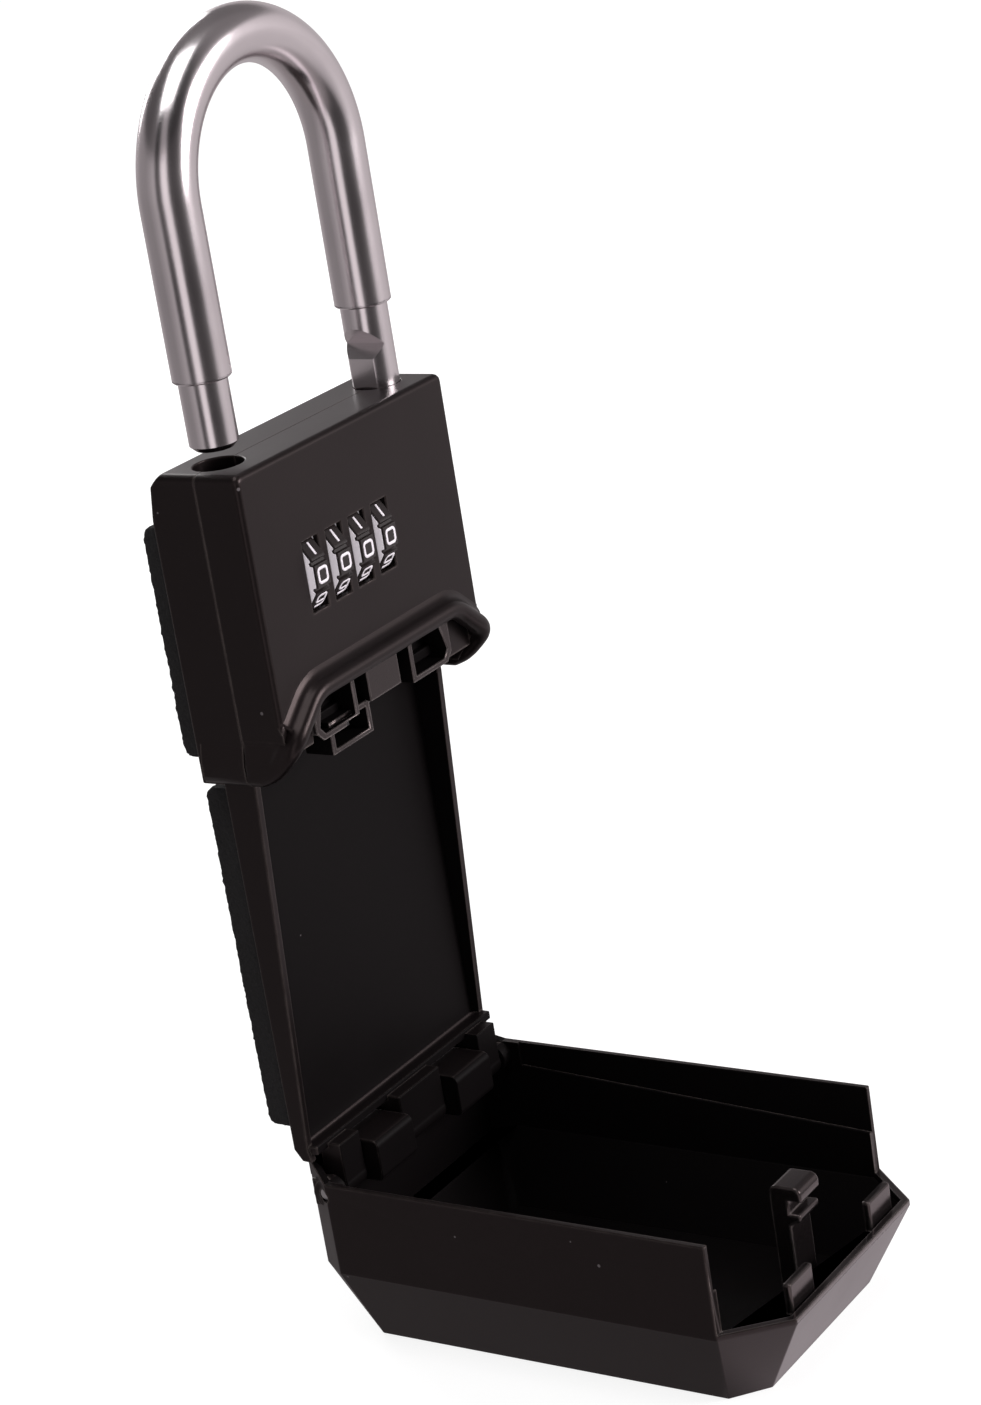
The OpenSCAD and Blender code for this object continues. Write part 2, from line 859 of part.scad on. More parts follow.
module door_shell() {
    difference() {
        union() {
            door_slope(0, -door_front);
            door_wall(crease_y, end_rim_y, 0);
            intersection() {
                door_wall(crease_y, door_top, 0);
                block([-door_x, crease_y, foot_end_z], [door_x, door_top, side_end_z]);
            }
            intersection() {
                door_wall(door_top - 1, ear_top, 0);
                both_sides()
                    profile_x(foot_x - 0.2, door_x, [[door_top - 1, foot_side_z], [door_top, foot_side_z],
                        [ear_top, foot_end_z + 0.9], [ear_top, foot_end_z - 1], [door_top - 1, foot_end_z - 1]]);
            }
        }
        door_slope(door_t, door_t - door_front);
        door_wall(crease_y - 0.1, ear_top + 1, door_t);
        // the upper walls are thinner, so that the tray's rims fit inside them
        block([-end_x - 2, end_rim_y, side_end_z - 1], [end_x + 2, door_top + 1, side_end_z + 20]);
        profile_x(-door_x + 1.2, door_x - 1.2, [[4.8, side_end_z + 1], [9.3, foot_side_z + 4],
            [door_top + 1, foot_side_z + 4], [door_top + 1, side_end_z + 1]]);
    }
}

// Hook that the latch bolt holds
module door_hook() {
    profile_x(-hook_w / 2, hook_w / 2, concat(
        [[-20, -62.6], [-20, -58.8], [3, -58.8], [4.4, -56.6], [5.7, -56.6], [5.7, -58.8], [8.2, -58.8]],
        [[8.2, -56]], arc(9.7, -57.5, 1.5, 90, 0), [[11.2, -61.1]], arc(9.7, -61.1, 1.5, 0, -90)));
}

module door_lugs() {
    both_sides()
        block([11.4, -8, -52.4], [20.1, 1.3, -50.7]);
}

module hinge_leaves() {
    both_sides() {
        profile_x(8, 20, concat([[9, -147.5], [9, -139.4]], arc(10.5, -139.4, 1.5, 180, 90),
            [[16.2, -137.9]], arc(16.2, -139.4, 1.5, 90, 0), arc(16.2, -146, 1.5, 0, -90)));
        bar_x(28.2, door_x - 1.3, hinge_y, hinge_z, 2.9);
        block([28.2, hinge_y - 2.9, -146.6], [door_x - 1.9, hinge_y + 2.7, hinge_z]);
    }
}

module door() {
    at_rest()
        color(black)
            translate([0, hinge_y, hinge_z])
                rotate([door_open, 0, 0])
                    translate([0, -hinge_y, -hinge_z])
                        difference() {
                            union() {
                                door_shell();
                                door_hook();
                                door_lugs();
                                hinge_leaves();
                            }
                            bar_x(-door_x - 1, door_x + 1, hinge_y, hinge_z, hinge_r + 0.08);
                        }
}

rear_case();
front_cover();
upper_back_pad();
lower_back_pad();
cover_screws();
hinge_pin();
dial_bracket();
dial_spindle();
spindle_clip();
detent_spring();
dial_wheel_1();
dial_wheel_2();
dial_wheel_3();
dial_wheel_4();
gate_sleeve_1();
gate_sleeve_2();
gate_sleeve_3();
gate_sleeve_4();
fence_slide();
fence_spring();
latch_bolt();
toe_bolt();
heel_bolt();
bolt_rocker();
rocker_pivot();
bolt_spring();
shackle();
shackle_retaining_pin();
heel_spring_cup();
heel_spring();
door();
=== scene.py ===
import bpy
import bmesh
import json
import math
from mathutils import Matrix, Vector


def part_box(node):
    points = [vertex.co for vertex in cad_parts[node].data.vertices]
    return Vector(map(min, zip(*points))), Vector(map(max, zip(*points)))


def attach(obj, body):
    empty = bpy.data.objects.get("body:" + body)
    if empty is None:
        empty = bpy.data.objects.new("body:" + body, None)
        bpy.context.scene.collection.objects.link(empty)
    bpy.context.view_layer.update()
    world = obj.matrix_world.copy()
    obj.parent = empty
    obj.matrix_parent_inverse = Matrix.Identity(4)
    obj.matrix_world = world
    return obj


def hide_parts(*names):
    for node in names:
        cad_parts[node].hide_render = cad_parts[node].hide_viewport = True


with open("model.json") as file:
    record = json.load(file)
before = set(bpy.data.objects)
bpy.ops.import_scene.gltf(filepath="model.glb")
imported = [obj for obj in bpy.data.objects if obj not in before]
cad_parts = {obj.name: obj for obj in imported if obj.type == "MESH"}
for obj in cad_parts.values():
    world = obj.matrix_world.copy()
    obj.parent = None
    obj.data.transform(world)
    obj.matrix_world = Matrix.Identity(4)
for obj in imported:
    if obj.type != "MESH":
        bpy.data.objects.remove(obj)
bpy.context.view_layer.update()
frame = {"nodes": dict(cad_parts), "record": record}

MM = 0.001
scene = bpy.context.scene
scene.view_settings.view_transform = "Standard"

# %% [markdown]
# ## Where things are
# The lock box is easiest to think of with the top of its housing at height 0 and its front
# face at depth 0, in millimetres. One shift takes such a point into the shared frame. The
# shift is read off the back casting instead of being typed in, so it follows the frame.

# %% Housing frame
HOUSING_DEPTH = 20.5
top_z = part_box("rear_case")[1].z
face_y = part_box("rear_case")[1].y - HOUSING_DEPTH * MM


def at(x, y, z):
    """A point of the housing's own frame, in the shared frame."""
    return Vector((x * MM, y * MM + face_y, z * MM + top_z))


def local(v):
    """The same the other way round: a point of the shared frame, in millimetres."""
    return Vector((v.x / MM, (v.y - face_y) / MM, (v.z - top_z) / MM))


print("housing top", round(top_z, 4), "front face", round(face_y, 4))

# %% [markdown]
# ## Camera
# The view is from the left and a little from above, and it is tipped, so the upright box
# leans over. A long lens keeps the box's edges almost parallel. The three directions below
# are where the camera looks, what it calls right, and, from those two, what it calls up.

# %% Camera
SENSOR = 36
LENS = 87.97
eye = at(-482.93, -368.41, 150.41)
sight = Vector((0.7692, 0.5508, -0.3241)).normalized()
side = Vector((0.5322, -0.8328, -0.1523))
side = (side - sight * side.dot(sight)).normalized()
over = side.cross(sight)
camera_data = bpy.data.cameras.new("camera")
camera_data.sensor_width = SENSOR
camera_data.lens = LENS
camera_data.clip_end = 20
camera = bpy.data.objects.new("camera", camera_data)
camera.matrix_world = Matrix((side, over, -sight)).transposed().to_4x4()
camera.matrix_world.translation = eye
scene.collection.objects.link(camera)
scene.camera = camera
print("camera is", round((eye - at(0, 0, -50)).length, 3), "m from the object")

# %% [markdown]
# ## Helpers for node trees
# The studio, the floor and the finishes are all trees of nodes. These helpers add the few
# kinds of node that come back again and again: sums, ramps, ranges, mixes and choices.

# %% Node helpers


def link(tree, source, target):
    tree.links.new(source, target)


def math_node(tree, operation, a, b=0.0):
    """A Math node; a and b are numbers or outputs of other nodes."""
    node = tree.nodes.new("ShaderNodeMath")
    node.operation = operation
    for socket, value in zip(node.inputs, (a, b)):
        if isinstance(value, (int, float)):
            socket.default_value = value
        else:
            link(tree, value, socket)
    return node.outputs[0]


def ramp_node(tree, factor, stops):
    """A colour ramp with (position, colour) stops."""
    ramp = tree.nodes.new("ShaderNodeValToRGB")
    link(tree, factor, ramp.inputs["Fac"])
    points = ramp.color_ramp.elements
    while len(points) < len(stops):
        points.new(0.5)
    for point, (position, colour) in zip(points, stops):
        point.position = position
        point.color = (*colour, 1)
    return ramp.outputs["Color"]


def drift(tree, value, low, high, start=0.0, end=1.0):
    """A number that goes from low to high while value goes from start to end."""
    node = tree.nodes.new("ShaderNodeMapRange")
    ends = {"From Min": start, "From Max": end, "To Min": low, "To Max": high}
    for label, number in ends.items():
        node.inputs[label].default_value = number
    link(tree, value, node.inputs["Value"])
    return node.outputs["Result"]


def mix_colour(tree, factor, a, b, blend_type="MIX"):
    """A blend of two colours; each is a plain colour or the output of another node."""
    node = tree.nodes.new("ShaderNodeMix")
    node.data_type = "RGBA"
    node.blend_type = blend_type
    for label, value in (("Factor", factor), ("A", a), ("B", b)):
        socket = node.inputs[label]
        if isinstance(value, tuple):
            socket.default_value = (*value, 1)
        elif isinstance(value, (int, float)):
            socket.default_value = value
        else:
            link(tree, value, socket)
    return node.outputs["Result"]


def shader_node(tree, kind, grey=None):
    """A shader node, with an even grey if one is given."""
    node = tree.nodes.new(kind)
    if grey is not None:
        node.inputs["Color"].default_value = (grey, grey, grey, 1)
    return node


def pick_shader(tree, choice, first, second):
    """Shows the first shader where choice is 0 and the second where it is 1."""
    node = tree.nodes.new("ShaderNodeMixShader")
    for socket, source in zip(node.inputs, (choice, first, second)):
        link(tree, source, socket)
    return node.outputs[0]


# %% [markdown]
# ## Studio
# A black box and a bright shackle want opposite things: the box needs little light, or it
# turns grey, and the plating needs something dark to mirror, or it turns white. So the
# camera sees plain white all round, while everything else sees a studio with pale walls
# behind the object and dark ones beside the camera. The walls go by compass direction,
# which a gradient round the horizon gives: arctan2 of the view direction, through a ramp.

# %% World
# Brightness of the walls, by degrees round the horizon
WALLS = [(0, 0.5), (60, 0.5), (100, 0.3), (135, 0.27), (155, 0.37), (168, 0.5), (176, 0.06),
         (190, 0.07), (199, 1.0), (216, 1.0), (223, 0.06), (275, 0.05), (292, 0.45), (312, 0.62),
         (342, 0.62), (360, 0.5)]
WALL_TINT = (1.0, 0.93, 0.95)
# Grey of the studio from below (0) through the horizon (0.5) to overhead (1)
LEVELS = [(0.3, 0.5), (0.5, 1.0), (0.67, 1.0), (0.73, 0.3)]
STUDIO_GAIN = 1.1


def compass_colour(tree, place):
    """The colour of the studio in the compass direction of a place or a view direction."""
    parts = tree.nodes.new("ShaderNodeSeparateXYZ")
    link(tree, place, parts.inputs[0])
    compass = math_node(tree, "ARCTAN2", parts.outputs["Y"], parts.outputs["X"])
    turn = math_node(tree, "FRACT", math_node(tree, "DIVIDE", compass, math.tau))
    stops = [(a / 360, tuple(v * c for c in WALL_TINT)) for a, v in WALLS]
    return ramp_node(tree, turn, stops), parts


world = bpy.data.worlds.new("studio")
scene.world = world
world.use_nodes = True
sky = world.node_tree
sky.nodes.clear()
where = sky.nodes.new("ShaderNodeTexCoord")
walls, parts = compass_colour(sky, where.outputs["Generated"])
height = math_node(sky, "MULTIPLY_ADD", parts.outputs["Z"], 0.5)
height.node.inputs[2].default_value = 0.5
boost = sky.nodes.new("ShaderNodeVectorMath")
boost.operation = "SCALE"
boost.inputs["Scale"].default_value = STUDIO_GAIN
ceiling = ramp_node(sky, height, [(position, (grey,) * 3) for position, grey in LEVELS])
link(sky, ceiling, boost.inputs[0])
blend = mix_colour(sky, 1, walls, boost.outputs[0], "MULTIPLY")
studio = shader_node(sky, "ShaderNodeBackground")
link(sky, blend, studio.inputs["Color"])
white = shader_node(sky, "ShaderNodeBackground", 1)
path = sky.nodes.new("ShaderNodeLightPath")
sky_out = sky.nodes.new("ShaderNodeOutputWorld")
link(sky, pick_shader(sky, path.outputs["Is Camera Ray"], studio.outputs[0], white.outputs[0]),
     sky_out.inputs[0])
print("studio walls:", len(WALLS), "stops round the horizon")

# %% [markdown]
# ## Lamps
# Three large soft boxes. The key stands in front and to the right of the object, so the
# faces to the front are a little lighter than the side towards the camera. The others light
# the top and the back. They are weak: most of what shows on black is the studio's mirror image.

# %% Lamps


def lamp(name, place, target, size, power, colour=(1, 1, 1)):
    """A square soft box at place that shines at target."""
    data = bpy.data.lights.new(name, "AREA")
    data.size = size
    data.energy = power
    data.color = colour
    obj = bpy.data.objects.new(name, data)
    obj.location = place
    obj.rotation_euler = (target - place).to_track_quat("-Z", "Y").to_euler()
    scene.collection.objects.link(obj)
    print(name, "lamp", round((target - place).length, 2), "m away")


middle = at(0, 0, -60)
lamp("key", middle + Vector((0.45, -1.1, 0.35)), middle, 0.6, 14, (1, 0.95, 0.96))
lamp("top", middle + Vector((-0.3, -0.1, 1.2)), middle, 0.8, 7)
lamp("back", middle + Vector((0.5, 0.9, 0.5)), middle, 0.6, 5)

# %% [markdown]
# ## Floor
# A flat white sheet. To the camera it glows just enough to turn white where no shadow
# falls on it, so the object's own soft shadow is all that shows of it. Far from the lamps it
# glows fully. Black coat shows little more than the mirror image of the floor, so that image
# is given its own colours: far off it has those of the walls, for upright faces. Close by it
# is an even grey, for faces that slope down, and a strip in front of the door's free end is
# white, because that end slopes down towards it and catches the light.

# %% Floor sheet
HALF_FLOOR = 4
corners = [(-HALF_FLOOR, -HALF_FLOOR, 0), (HALF_FLOOR, -HALF_FLOOR, 0),
           (HALF_FLOOR, HALF_FLOOR, 0), (-HALF_FLOOR, HALF_FLOOR, 0)]
floor_mesh = bpy.data.meshes.new("floor")
floor_mesh.from_pydata(corners, [], [(0, 1, 2, 3)])
floor = bpy.data.objects.new("floor", floor_mesh)
scene.collection.objects.link(floor)
print("floor", 2 * HALF_FLOOR, "m wide")

# %% Floor paper
PAPER_SEEN = 0.3        # grey of the sheet for the camera, which also sees the glow
PAPER_UNSEEN = 0.75     # and its grey for the light that it throws back
FLOOR_GLOW = 0.86
FULL_GLOW_FROM = (0.35, 0.8)
NEAR_GREY = (0.30, 0.27, 0.275)
NEAR_FADE = (0.16, 0.3)
STRIP_WHITE = (1.15, 1.02, 1.07)
STRIP_BACK = (-0.038, -0.047)
STRIP_FRONT = (-0.100, -0.075)
paper = bpy.data.materials.new("floor_paper")
paper.use_nodes = True
pt = paper.node_tree
pt.nodes.clear()
spot = pt.nodes.new("ShaderNodeTexCoord").outputs["Object"]
reach = pt.nodes.new("ShaderNodeVectorMath")
reach.operation = "LENGTH"
link(pt, spot, reach.inputs[0])
wall_colour, spot_parts = compass_colour(pt, spot)
strip = math_node(pt, "MULTIPLY", drift(pt, spot_parts.outputs["Y"], 0, 1, *STRIP_BACK),
                  drift(pt, spot_parts.outputs["Y"], 0, 1, *STRIP_FRONT))
close_by = mix_colour(pt, strip, NEAR_GREY, STRIP_WHITE)
image = mix_colour(pt, drift(pt, reach.outputs["Value"], 0, 1, *NEAR_FADE), close_by, wall_colour)
mirrored = shader_node(pt, "ShaderNodeEmission")
link(pt, image, mirrored.inputs["Color"])
glow = shader_node(pt, "ShaderNodeEmission", 1)
link(pt, drift(pt, reach.outputs["Value"], FLOOR_GLOW, 1, *FULL_GLOW_FROM), glow.inputs["Strength"])
both = pt.nodes.new("ShaderNodeAddShader")
link(pt, shader_node(pt, "ShaderNodeBsdfDiffuse", PAPER_SEEN).outputs[0], both.inputs[0])
link(pt, glow.outputs[0], both.inputs[1])
seen = pt.nodes.new("ShaderNodeLightPath")
plain = shader_node(pt, "ShaderNodeBsdfDiffuse", PAPER_UNSEEN)
unseen = pick_shader(pt, seen.outputs["Is Glossy Ray"], plain.outputs[0], mirrored.outputs[0])
paper_out = pt.nodes.new("ShaderNodeOutputMaterial")
link(pt, pick_shader(pt, seen.outputs["Is Camera Ray"], unseen, both.outputs[0]),
     paper_out.inputs[0])
floor_mesh.materials.append(paper)
print("floor glows at", FLOOR_GLOW)

# %% [markdown]
# ## Effects that several finishes share
# Each is a small node group: fine grain (the skin of a sprayed or cast surface), a mask along
# the edges (partly wear, where handling polishes the coat, and partly a painted highlight), and
# specks (single grains of dust). They only put out heights and masks; every material mixes them in
# its own way.

# %% Group helpers


def group(name, inputs, outputs):
    """An empty shader group with number sockets, and its input and output nodes."""
    tree = bpy.data.node_groups.new(name, "ShaderNodeTree")
    for label, value in inputs.items():
        socket = tree.interface.new_socket(label, in_out="INPUT", socket_type="NodeSocketFloat")
        socket.default_value = value
    for label in outputs:
        tree.interface.new_socket(label, in_out="OUTPUT", socket_type="NodeSocketFloat")
    return tree, tree.nodes.new("NodeGroupInput"), tree.nodes.new("NodeGroupOutput")


def object_place(tree):
    return tree.nodes.new("ShaderNodeTexCoord").outputs["Object"]


def noise(tree, scale, detail=2.0):
    """Noise on the object's own coordinates; scale is a number or an output."""
    node = tree.nodes.new("ShaderNodeTexNoise")
    node.inputs["Detail"].default_value = detail
    link(tree, object_place(tree), node.inputs["Vector"])
    if isinstance(scale, (int, float)):
        node.inputs["Scale"].default_value = scale
    else:
        link(tree, scale, node.inputs["Scale"])
    return node.outputs["Fac"]


# %% Grain
grain, gi, go = group("fine_grain", {"Grains per metre": 2500.0, "Clouds per metre": 60.0},
                      ["Height", "Cloud"])
link(grain, noise(grain, gi.outputs[0], 3.0), go.inputs["Height"])
link(grain, noise(grain, gi.outputs[1], 4.0), go.inputs["Cloud"])

# %% Wear and painted highlights along edges
# A lighter mask along rounded edges: partly wear, partly a painted highlight line.
wear_and_highlight_tree, wi, wo = group("edge_wear_and_highlight", {"Reach": 0.0004, "Strength": 2.0}, ["Mask"])
round_normal = wear_and_highlight_tree.nodes.new("ShaderNodeBevel")
round_normal.samples = 4
link(wear_and_highlight_tree, wi.outputs["Reach"], round_normal.inputs["Radius"])
true_normal = wear_and_highlight_tree.nodes.new("ShaderNodeNewGeometry")
between = wear_and_highlight_tree.nodes.new("ShaderNodeVectorMath")
between.operation = "DOT_PRODUCT"
link(wear_and_highlight_tree, round_normal.outputs[0], between.inputs[0])
link(wear_and_highlight_tree, true_normal.outputs["Normal"], between.inputs[1])
bent = math_node(wear_and_highlight_tree, "MULTIPLY", math_node(wear_and_highlight_tree, "SUBTRACT", 1.0, between.outputs["Value"]),
                 wi.outputs["Strength"])
wear_and_highlight_mask = math_node(wear_and_highlight_tree, "MULTIPLY", bent, noise(wear_and_highlight_tree, 350.0, 3.0))
wear_and_highlight_mask.node.use_clamp = True
link(wear_and_highlight_tree, wear_and_highlight_mask, wo.inputs["Mask"])

# %% Specks
specks, si, so = group("specks", {"Cells per metre": 130.0, "Size": 0.05, "Share": 0.16}, ["Mask"])
cells = specks.nodes.new("ShaderNodeTexVoronoi")
link(specks, object_place(specks), cells.inputs["Vector"])
link(specks, si.outputs["Cells per metre"], cells.inputs["Scale"])
tint = specks.nodes.new("ShaderNodeSeparateColor")
link(specks, cells.outputs["Color"], tint.inputs[0])
close = math_node(specks, "LESS_THAN", cells.outputs["Distance"], si.outputs["Size"])
picked = math_node(specks, "LESS_THAN", tint.outputs[0], si.outputs["Share"])
link(specks, math_node(specks, "MULTIPLY", close, picked), so.inputs["Mask"])
print("groups:", [g.name for g in (grain, wear_and_highlight_tree, specks)])

# %% [markdown]
# ## Finishes
# A material here is a Principled BSDF with its constant numbers on its own sockets. The
# helper below adds the parts that vary: a cloudy colour between two tones, lighter edges that
# are partly wear and partly painted highlight, dust, a roughness that drifts, and the height of the
# grain.

# %% Material helper


def place_group(tree, source, **values):
    node = tree.nodes.new("ShaderNodeGroup")
    node.node_tree = source
    for label, value in values.items():
        node.inputs[label.replace("_", " ")].default_value = value
    return node


def finish(name, tones, rough, grains, depth, metallic=0.0, wear_and_highlight=None, dust=None, **sockets):
    """A Principled material with a cloudy skin.

    tones and rough are (low, high) pairs, depth is the height of the grain in metres,
    wear_and_highlight is (reach, strength, colour) for lighter edges that are partly wear and
    partly painted highlight, and dust is (cells per metre, colour). Any other socket of the
    shader can be named, with _ for a space.
    """
    material = bpy.data.materials.new(name)
    material.use_nodes = True
    tree = material.node_tree
    shader = tree.nodes["Principled BSDF"]
    shader.inputs["Metallic"].default_value = metallic
    for label, value in sockets.items():
        shader.inputs[label.replace("_", " ")].default_value = value
    skin = place_group(tree, grain, Grains_per_metre=grains)
    colour = mix_colour(tree, skin.outputs["Cloud"], *tones)
    # Lighter edges: partly wear, partly painted highlight.
    if wear_and_highlight:
        edges = place_group(tree, wear_and_highlight_tree, Reach=wear_and_highlight[0], Strength=wear_and_highlight[1])
        colour = mix_colour(tree, edges.outputs["Mask"], colour, wear_and_highlight[2])
    if dust:
        grit = place_group(tree, specks, Cells_per_metre=dust[0])
        colour = mix_colour(tree, grit.outputs["Mask"], colour, dust[1])
    link(tree, colour, shader.inputs["Base Color"])
    link(tree, drift(tree, skin.outputs["Cloud"], *rough), shader.inputs["Roughness"])
    bump = tree.nodes.new("ShaderNodeBump")
    bump.inputs["Distance"].default_value = depth
    link(tree, skin.outputs["Height"], bump.inputs["Height"])
    link(tree, bump.outputs[0], shader.inputs["Normal"])
    return material


# %% [markdown]
# ## Which finish is what
# The castings are sprayed satin black with a warm cast. The shackle is plated and a little
# cloudy from handling. Inside there are plain steel, spring steel and brass. The dials are
# gloss black plastic with filled white numbers and a pale disc on their left flank, and the
# pads are open foam, the darkest and roughest thing on the object. The disc has a faint
# glow, painted light that lifts it out of the shade of the dial window.

# %% Casting finishes
WARM = (1.0, 0.81, 0.80, 1.0)
# Its lighter edges are partly wear and partly a painted highlight line.
black_coat = finish("black_coat", ((0.0045, 0.0034, 0.0036), (0.0065, 0.0048, 0.0050)),
                    (0.29, 0.37), 2600, 0.00001, wear_and_highlight=(0.0008, 4.0, (0.11, 0.094, 0.088)),
                    dust=(150, (0.12, 0.11, 0.115)), Specular_IOR_Level=0.27, Specular_Tint=WARM)
# A glossier coat whose bright edges are painted highlights, for the hook, the lugs and the pocket
# frames.
painted_highlight_coat = finish("painted_highlight_coat", ((0.0060, 0.0050, 0.0052), (0.0090, 0.0075, 0.0078)),
                     (0.16, 0.22), 2600, 0.000006, wear_and_highlight=(0.0007, 5.0, (0.24, 0.215, 0.21)),
                     Specular_IOR_Level=0.6, Specular_Tint=WARM)
# Painted shade: darker and duller than black_coat, for the insides where shade falls.
painted_shade_coat = finish("painted_shade_coat", ((0.0035, 0.0028, 0.0030), (0.0050, 0.0040, 0.0042)),
                   (0.42, 0.5), 2600, 0.00001, dust=(150, (0.10, 0.09, 0.095)),
                   Specular_IOR_Level=0.06)
print("castings:", [m.name for m in (black_coat, painted_highlight_coat, painted_shade_coat)])

# %% Metal finishes
bright_plating = finish("bright_plating", ((0.66, 0.61, 0.63), (0.79, 0.745, 0.76)),
                        (0.16, 0.27), 1400, 0.000006, metallic=1.0)
dark_steel = finish("dark_steel", ((0.012, 0.011, 0.012), (0.020, 0.018, 0.019)),
                    (0.3, 0.4), 3000, 0.000008, Specular_IOR_Level=0.35)
plain_steel = finish("plain_steel", ((0.42, 0.42, 0.43), (0.56, 0.56, 0.57)), (0.28, 0.42),
                     3000, 0.000008, metallic=1.0, wear_and_highlight=(0.0003, 1.5, (0.75, 0.75, 0.76)))
spring_wire = finish("spring_wire", ((0.34, 0.34, 0.36), (0.46, 0.46, 0.47)), (0.25, 0.36),
                     5000, 0.000005, metallic=1.0)
turned_brass = finish("turned_brass", ((0.60, 0.44, 0.20), (0.74, 0.57, 0.28)), (0.22, 0.34),
                      3500, 0.000006, metallic=1.0, wear_and_highlight=(0.0003, 1.5, (0.85, 0.70, 0.42)))
metals = (bright_plating, dark_steel, plain_steel, spring_wire, turned_brass)
print("metals:", [m.name for m in metals])

# %% Plastic and foam finishes
gloss_black = finish("gloss_black", ((0.010, 0.007, 0.007), (0.016, 0.012, 0.012)),
                     (0.20, 0.30), 1800, 0.000006, wear_and_highlight=(0.0002, 1.2, (0.06, 0.05, 0.05)))
number_white = finish("number_white", ((0.80, 0.76, 0.82), (0.90, 0.87, 0.92)), (0.4, 0.55),
                      4000, 0.000008)
# The faint glow of flank_grey is painted light that lifts the discs out of the shade of the dial
# windows.
flank_grey = finish("flank_grey", ((0.86, 0.81, 0.87), (0.94, 0.89, 0.95)), (0.4, 0.55),
                    3000, 0.00001, Emission_Color=(0.95, 0.89, 0.95, 1.0), Emission_Strength=0.28)
pad_foam = finish("pad_foam", ((0.006, 0.006, 0.006), (0.016, 0.015, 0.016)), (0.9, 1.0),
                  1500, 0.0003)
print("others:", [m.name for m in (gloss_black, number_white, flank_grey, pad_foam)])

# %% [markdown]
# ## Paint for the solids
# Every solid of the works inside the housing is shown as it is, so it only needs the finish
# that its slot asks for. The solids that are replaced by finer pieces get theirs as well.

# %% Paint
paint = {"black_casting": black_coat, "chrome": bright_plating, "steel": plain_steel,
         "spring_steel": spring_wire, "brass": turned_brass, "foam": pad_foam,
         "dial_black": gloss_black, "dark_steel": dark_steel}
slot_of = {row["node"]: row["material_slot"] for row in frame["record"]["subparts"]}
for name, slot in slot_of.items():
    solid = frame["nodes"][name]
    solid.data.materials.clear()
    solid.data.materials.append(paint[slot])
print(len(slot_of), "solids painted with", len(paint), "finishes")

# %% [markdown]
# ## Helpers for pieces
# One puts a new mesh into the scene with its material and the body it rides on. Another
# works out an object's modifiers and keeps the result as a plain mesh, so that nothing is
# left to be worked out again.

# %% Piece helpers


def settle(obj):
    """The object's mesh with its modifiers worked out; the modifiers go."""
    bpy.context.view_layer.update()
    graph = bpy.context.evaluated_depsgraph_get()
    mesh = bpy.data.meshes.new_from_object(obj.evaluated_get(graph), depsgraph=graph)
    obj.modifiers.clear()
    if obj.type == "MESH":
        obj.data = mesh
    return mesh


def thing(name, mesh):
    """An object for a mesh or a curve, in the scene and at the origin."""
    obj = bpy.data.objects.new(name, mesh)
    scene.collection.objects.link(obj)
    return obj


def piece(name, mesh, material, body, stands_for=None):
    """A finished piece, riding on its body."""
    mesh.materials.clear()
    mesh.materials.append(material)
    obj = thing(name, mesh)
    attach(obj, body)
    if stands_for:
        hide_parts(stands_for)
    print(name, len(mesh.polygons), "faces")
    return obj


# %% [markdown]
# ## Helpers for sweeps
# Two kinds of piece follow a line: round bars, and the flat strokes of the numbers. Both are
# made by a Geometry Nodes tree with named sizes, from a curve object of straight strokes.
# The tree ends in Realize Instances and Set Material, and its result is kept as a mesh.

# %% Sweep helpers


def tree_mesh(obj, name, sizes, build):
    """Runs a Geometry Nodes tree with named sizes on obj, and returns the mesh it makes."""
    tree = bpy.data.node_groups.new(name, "GeometryNodeTree")
    tree.interface.new_socket("Geometry", in_out="INPUT", socket_type="NodeSocketGeometry")
    sockets = {}
    for label in sizes:
        sockets[label] = tree.interface.new_socket(label, in_out="INPUT",
                                                   socket_type="NodeSocketFloat")
    tree.interface.new_socket("Geometry", in_out="OUTPUT", socket_type="NodeSocketGeometry")
    start, end = tree.nodes.new("NodeGroupInput"), tree.nodes.new("NodeGroupOutput")
    link(tree, build(tree, start), end.inputs[0])
    modifier = obj.modifiers.new(name, "NODES")
    modifier.node_group = tree
    for label, value in sizes.items():
        modifier[sockets[label].identifier] = value
    mesh = settle(obj)
    bpy.data.objects.remove(obj)
    return mesh


def line_object(name, strokes):
    """A curve object of straight strokes; a stroke is a list of points and whether it closes."""
    data = bpy.data.curves.new(name, "CURVE")
    data.dimensions = "3D"
    for points, closed in strokes:
        spline = data.splines.new("POLY")
        spline.points.add(len(points) - 1)
        spline.use_cyclic_u = closed
        for target, point in zip(spline.points, points):
            target.co = (*point, 1)
    return thing(name, data)


def swept(tree, line, profile, material):
    """The end of both trees: the profile swept along the line, realized, with its material."""
    sweep = tree.nodes.new("GeometryNodeCurveToMesh")
    sweep.inputs["Fill Caps"].default_value = True
    link(tree, line, sweep.inputs["Curve"])
    link(tree, profile, sweep.inputs["Profile Curve"])
    real = tree.nodes.new("GeometryNodeRealizeInstances")
    link(tree, sweep.outputs["Mesh"], real.inputs[0])
    cover = tree.nodes.new("GeometryNodeSetMaterial")
    cover.inputs["Material"].default_value = material
    link(tree, real.outputs[0], cover.inputs["Geometry"])
    return cover.outputs[0]


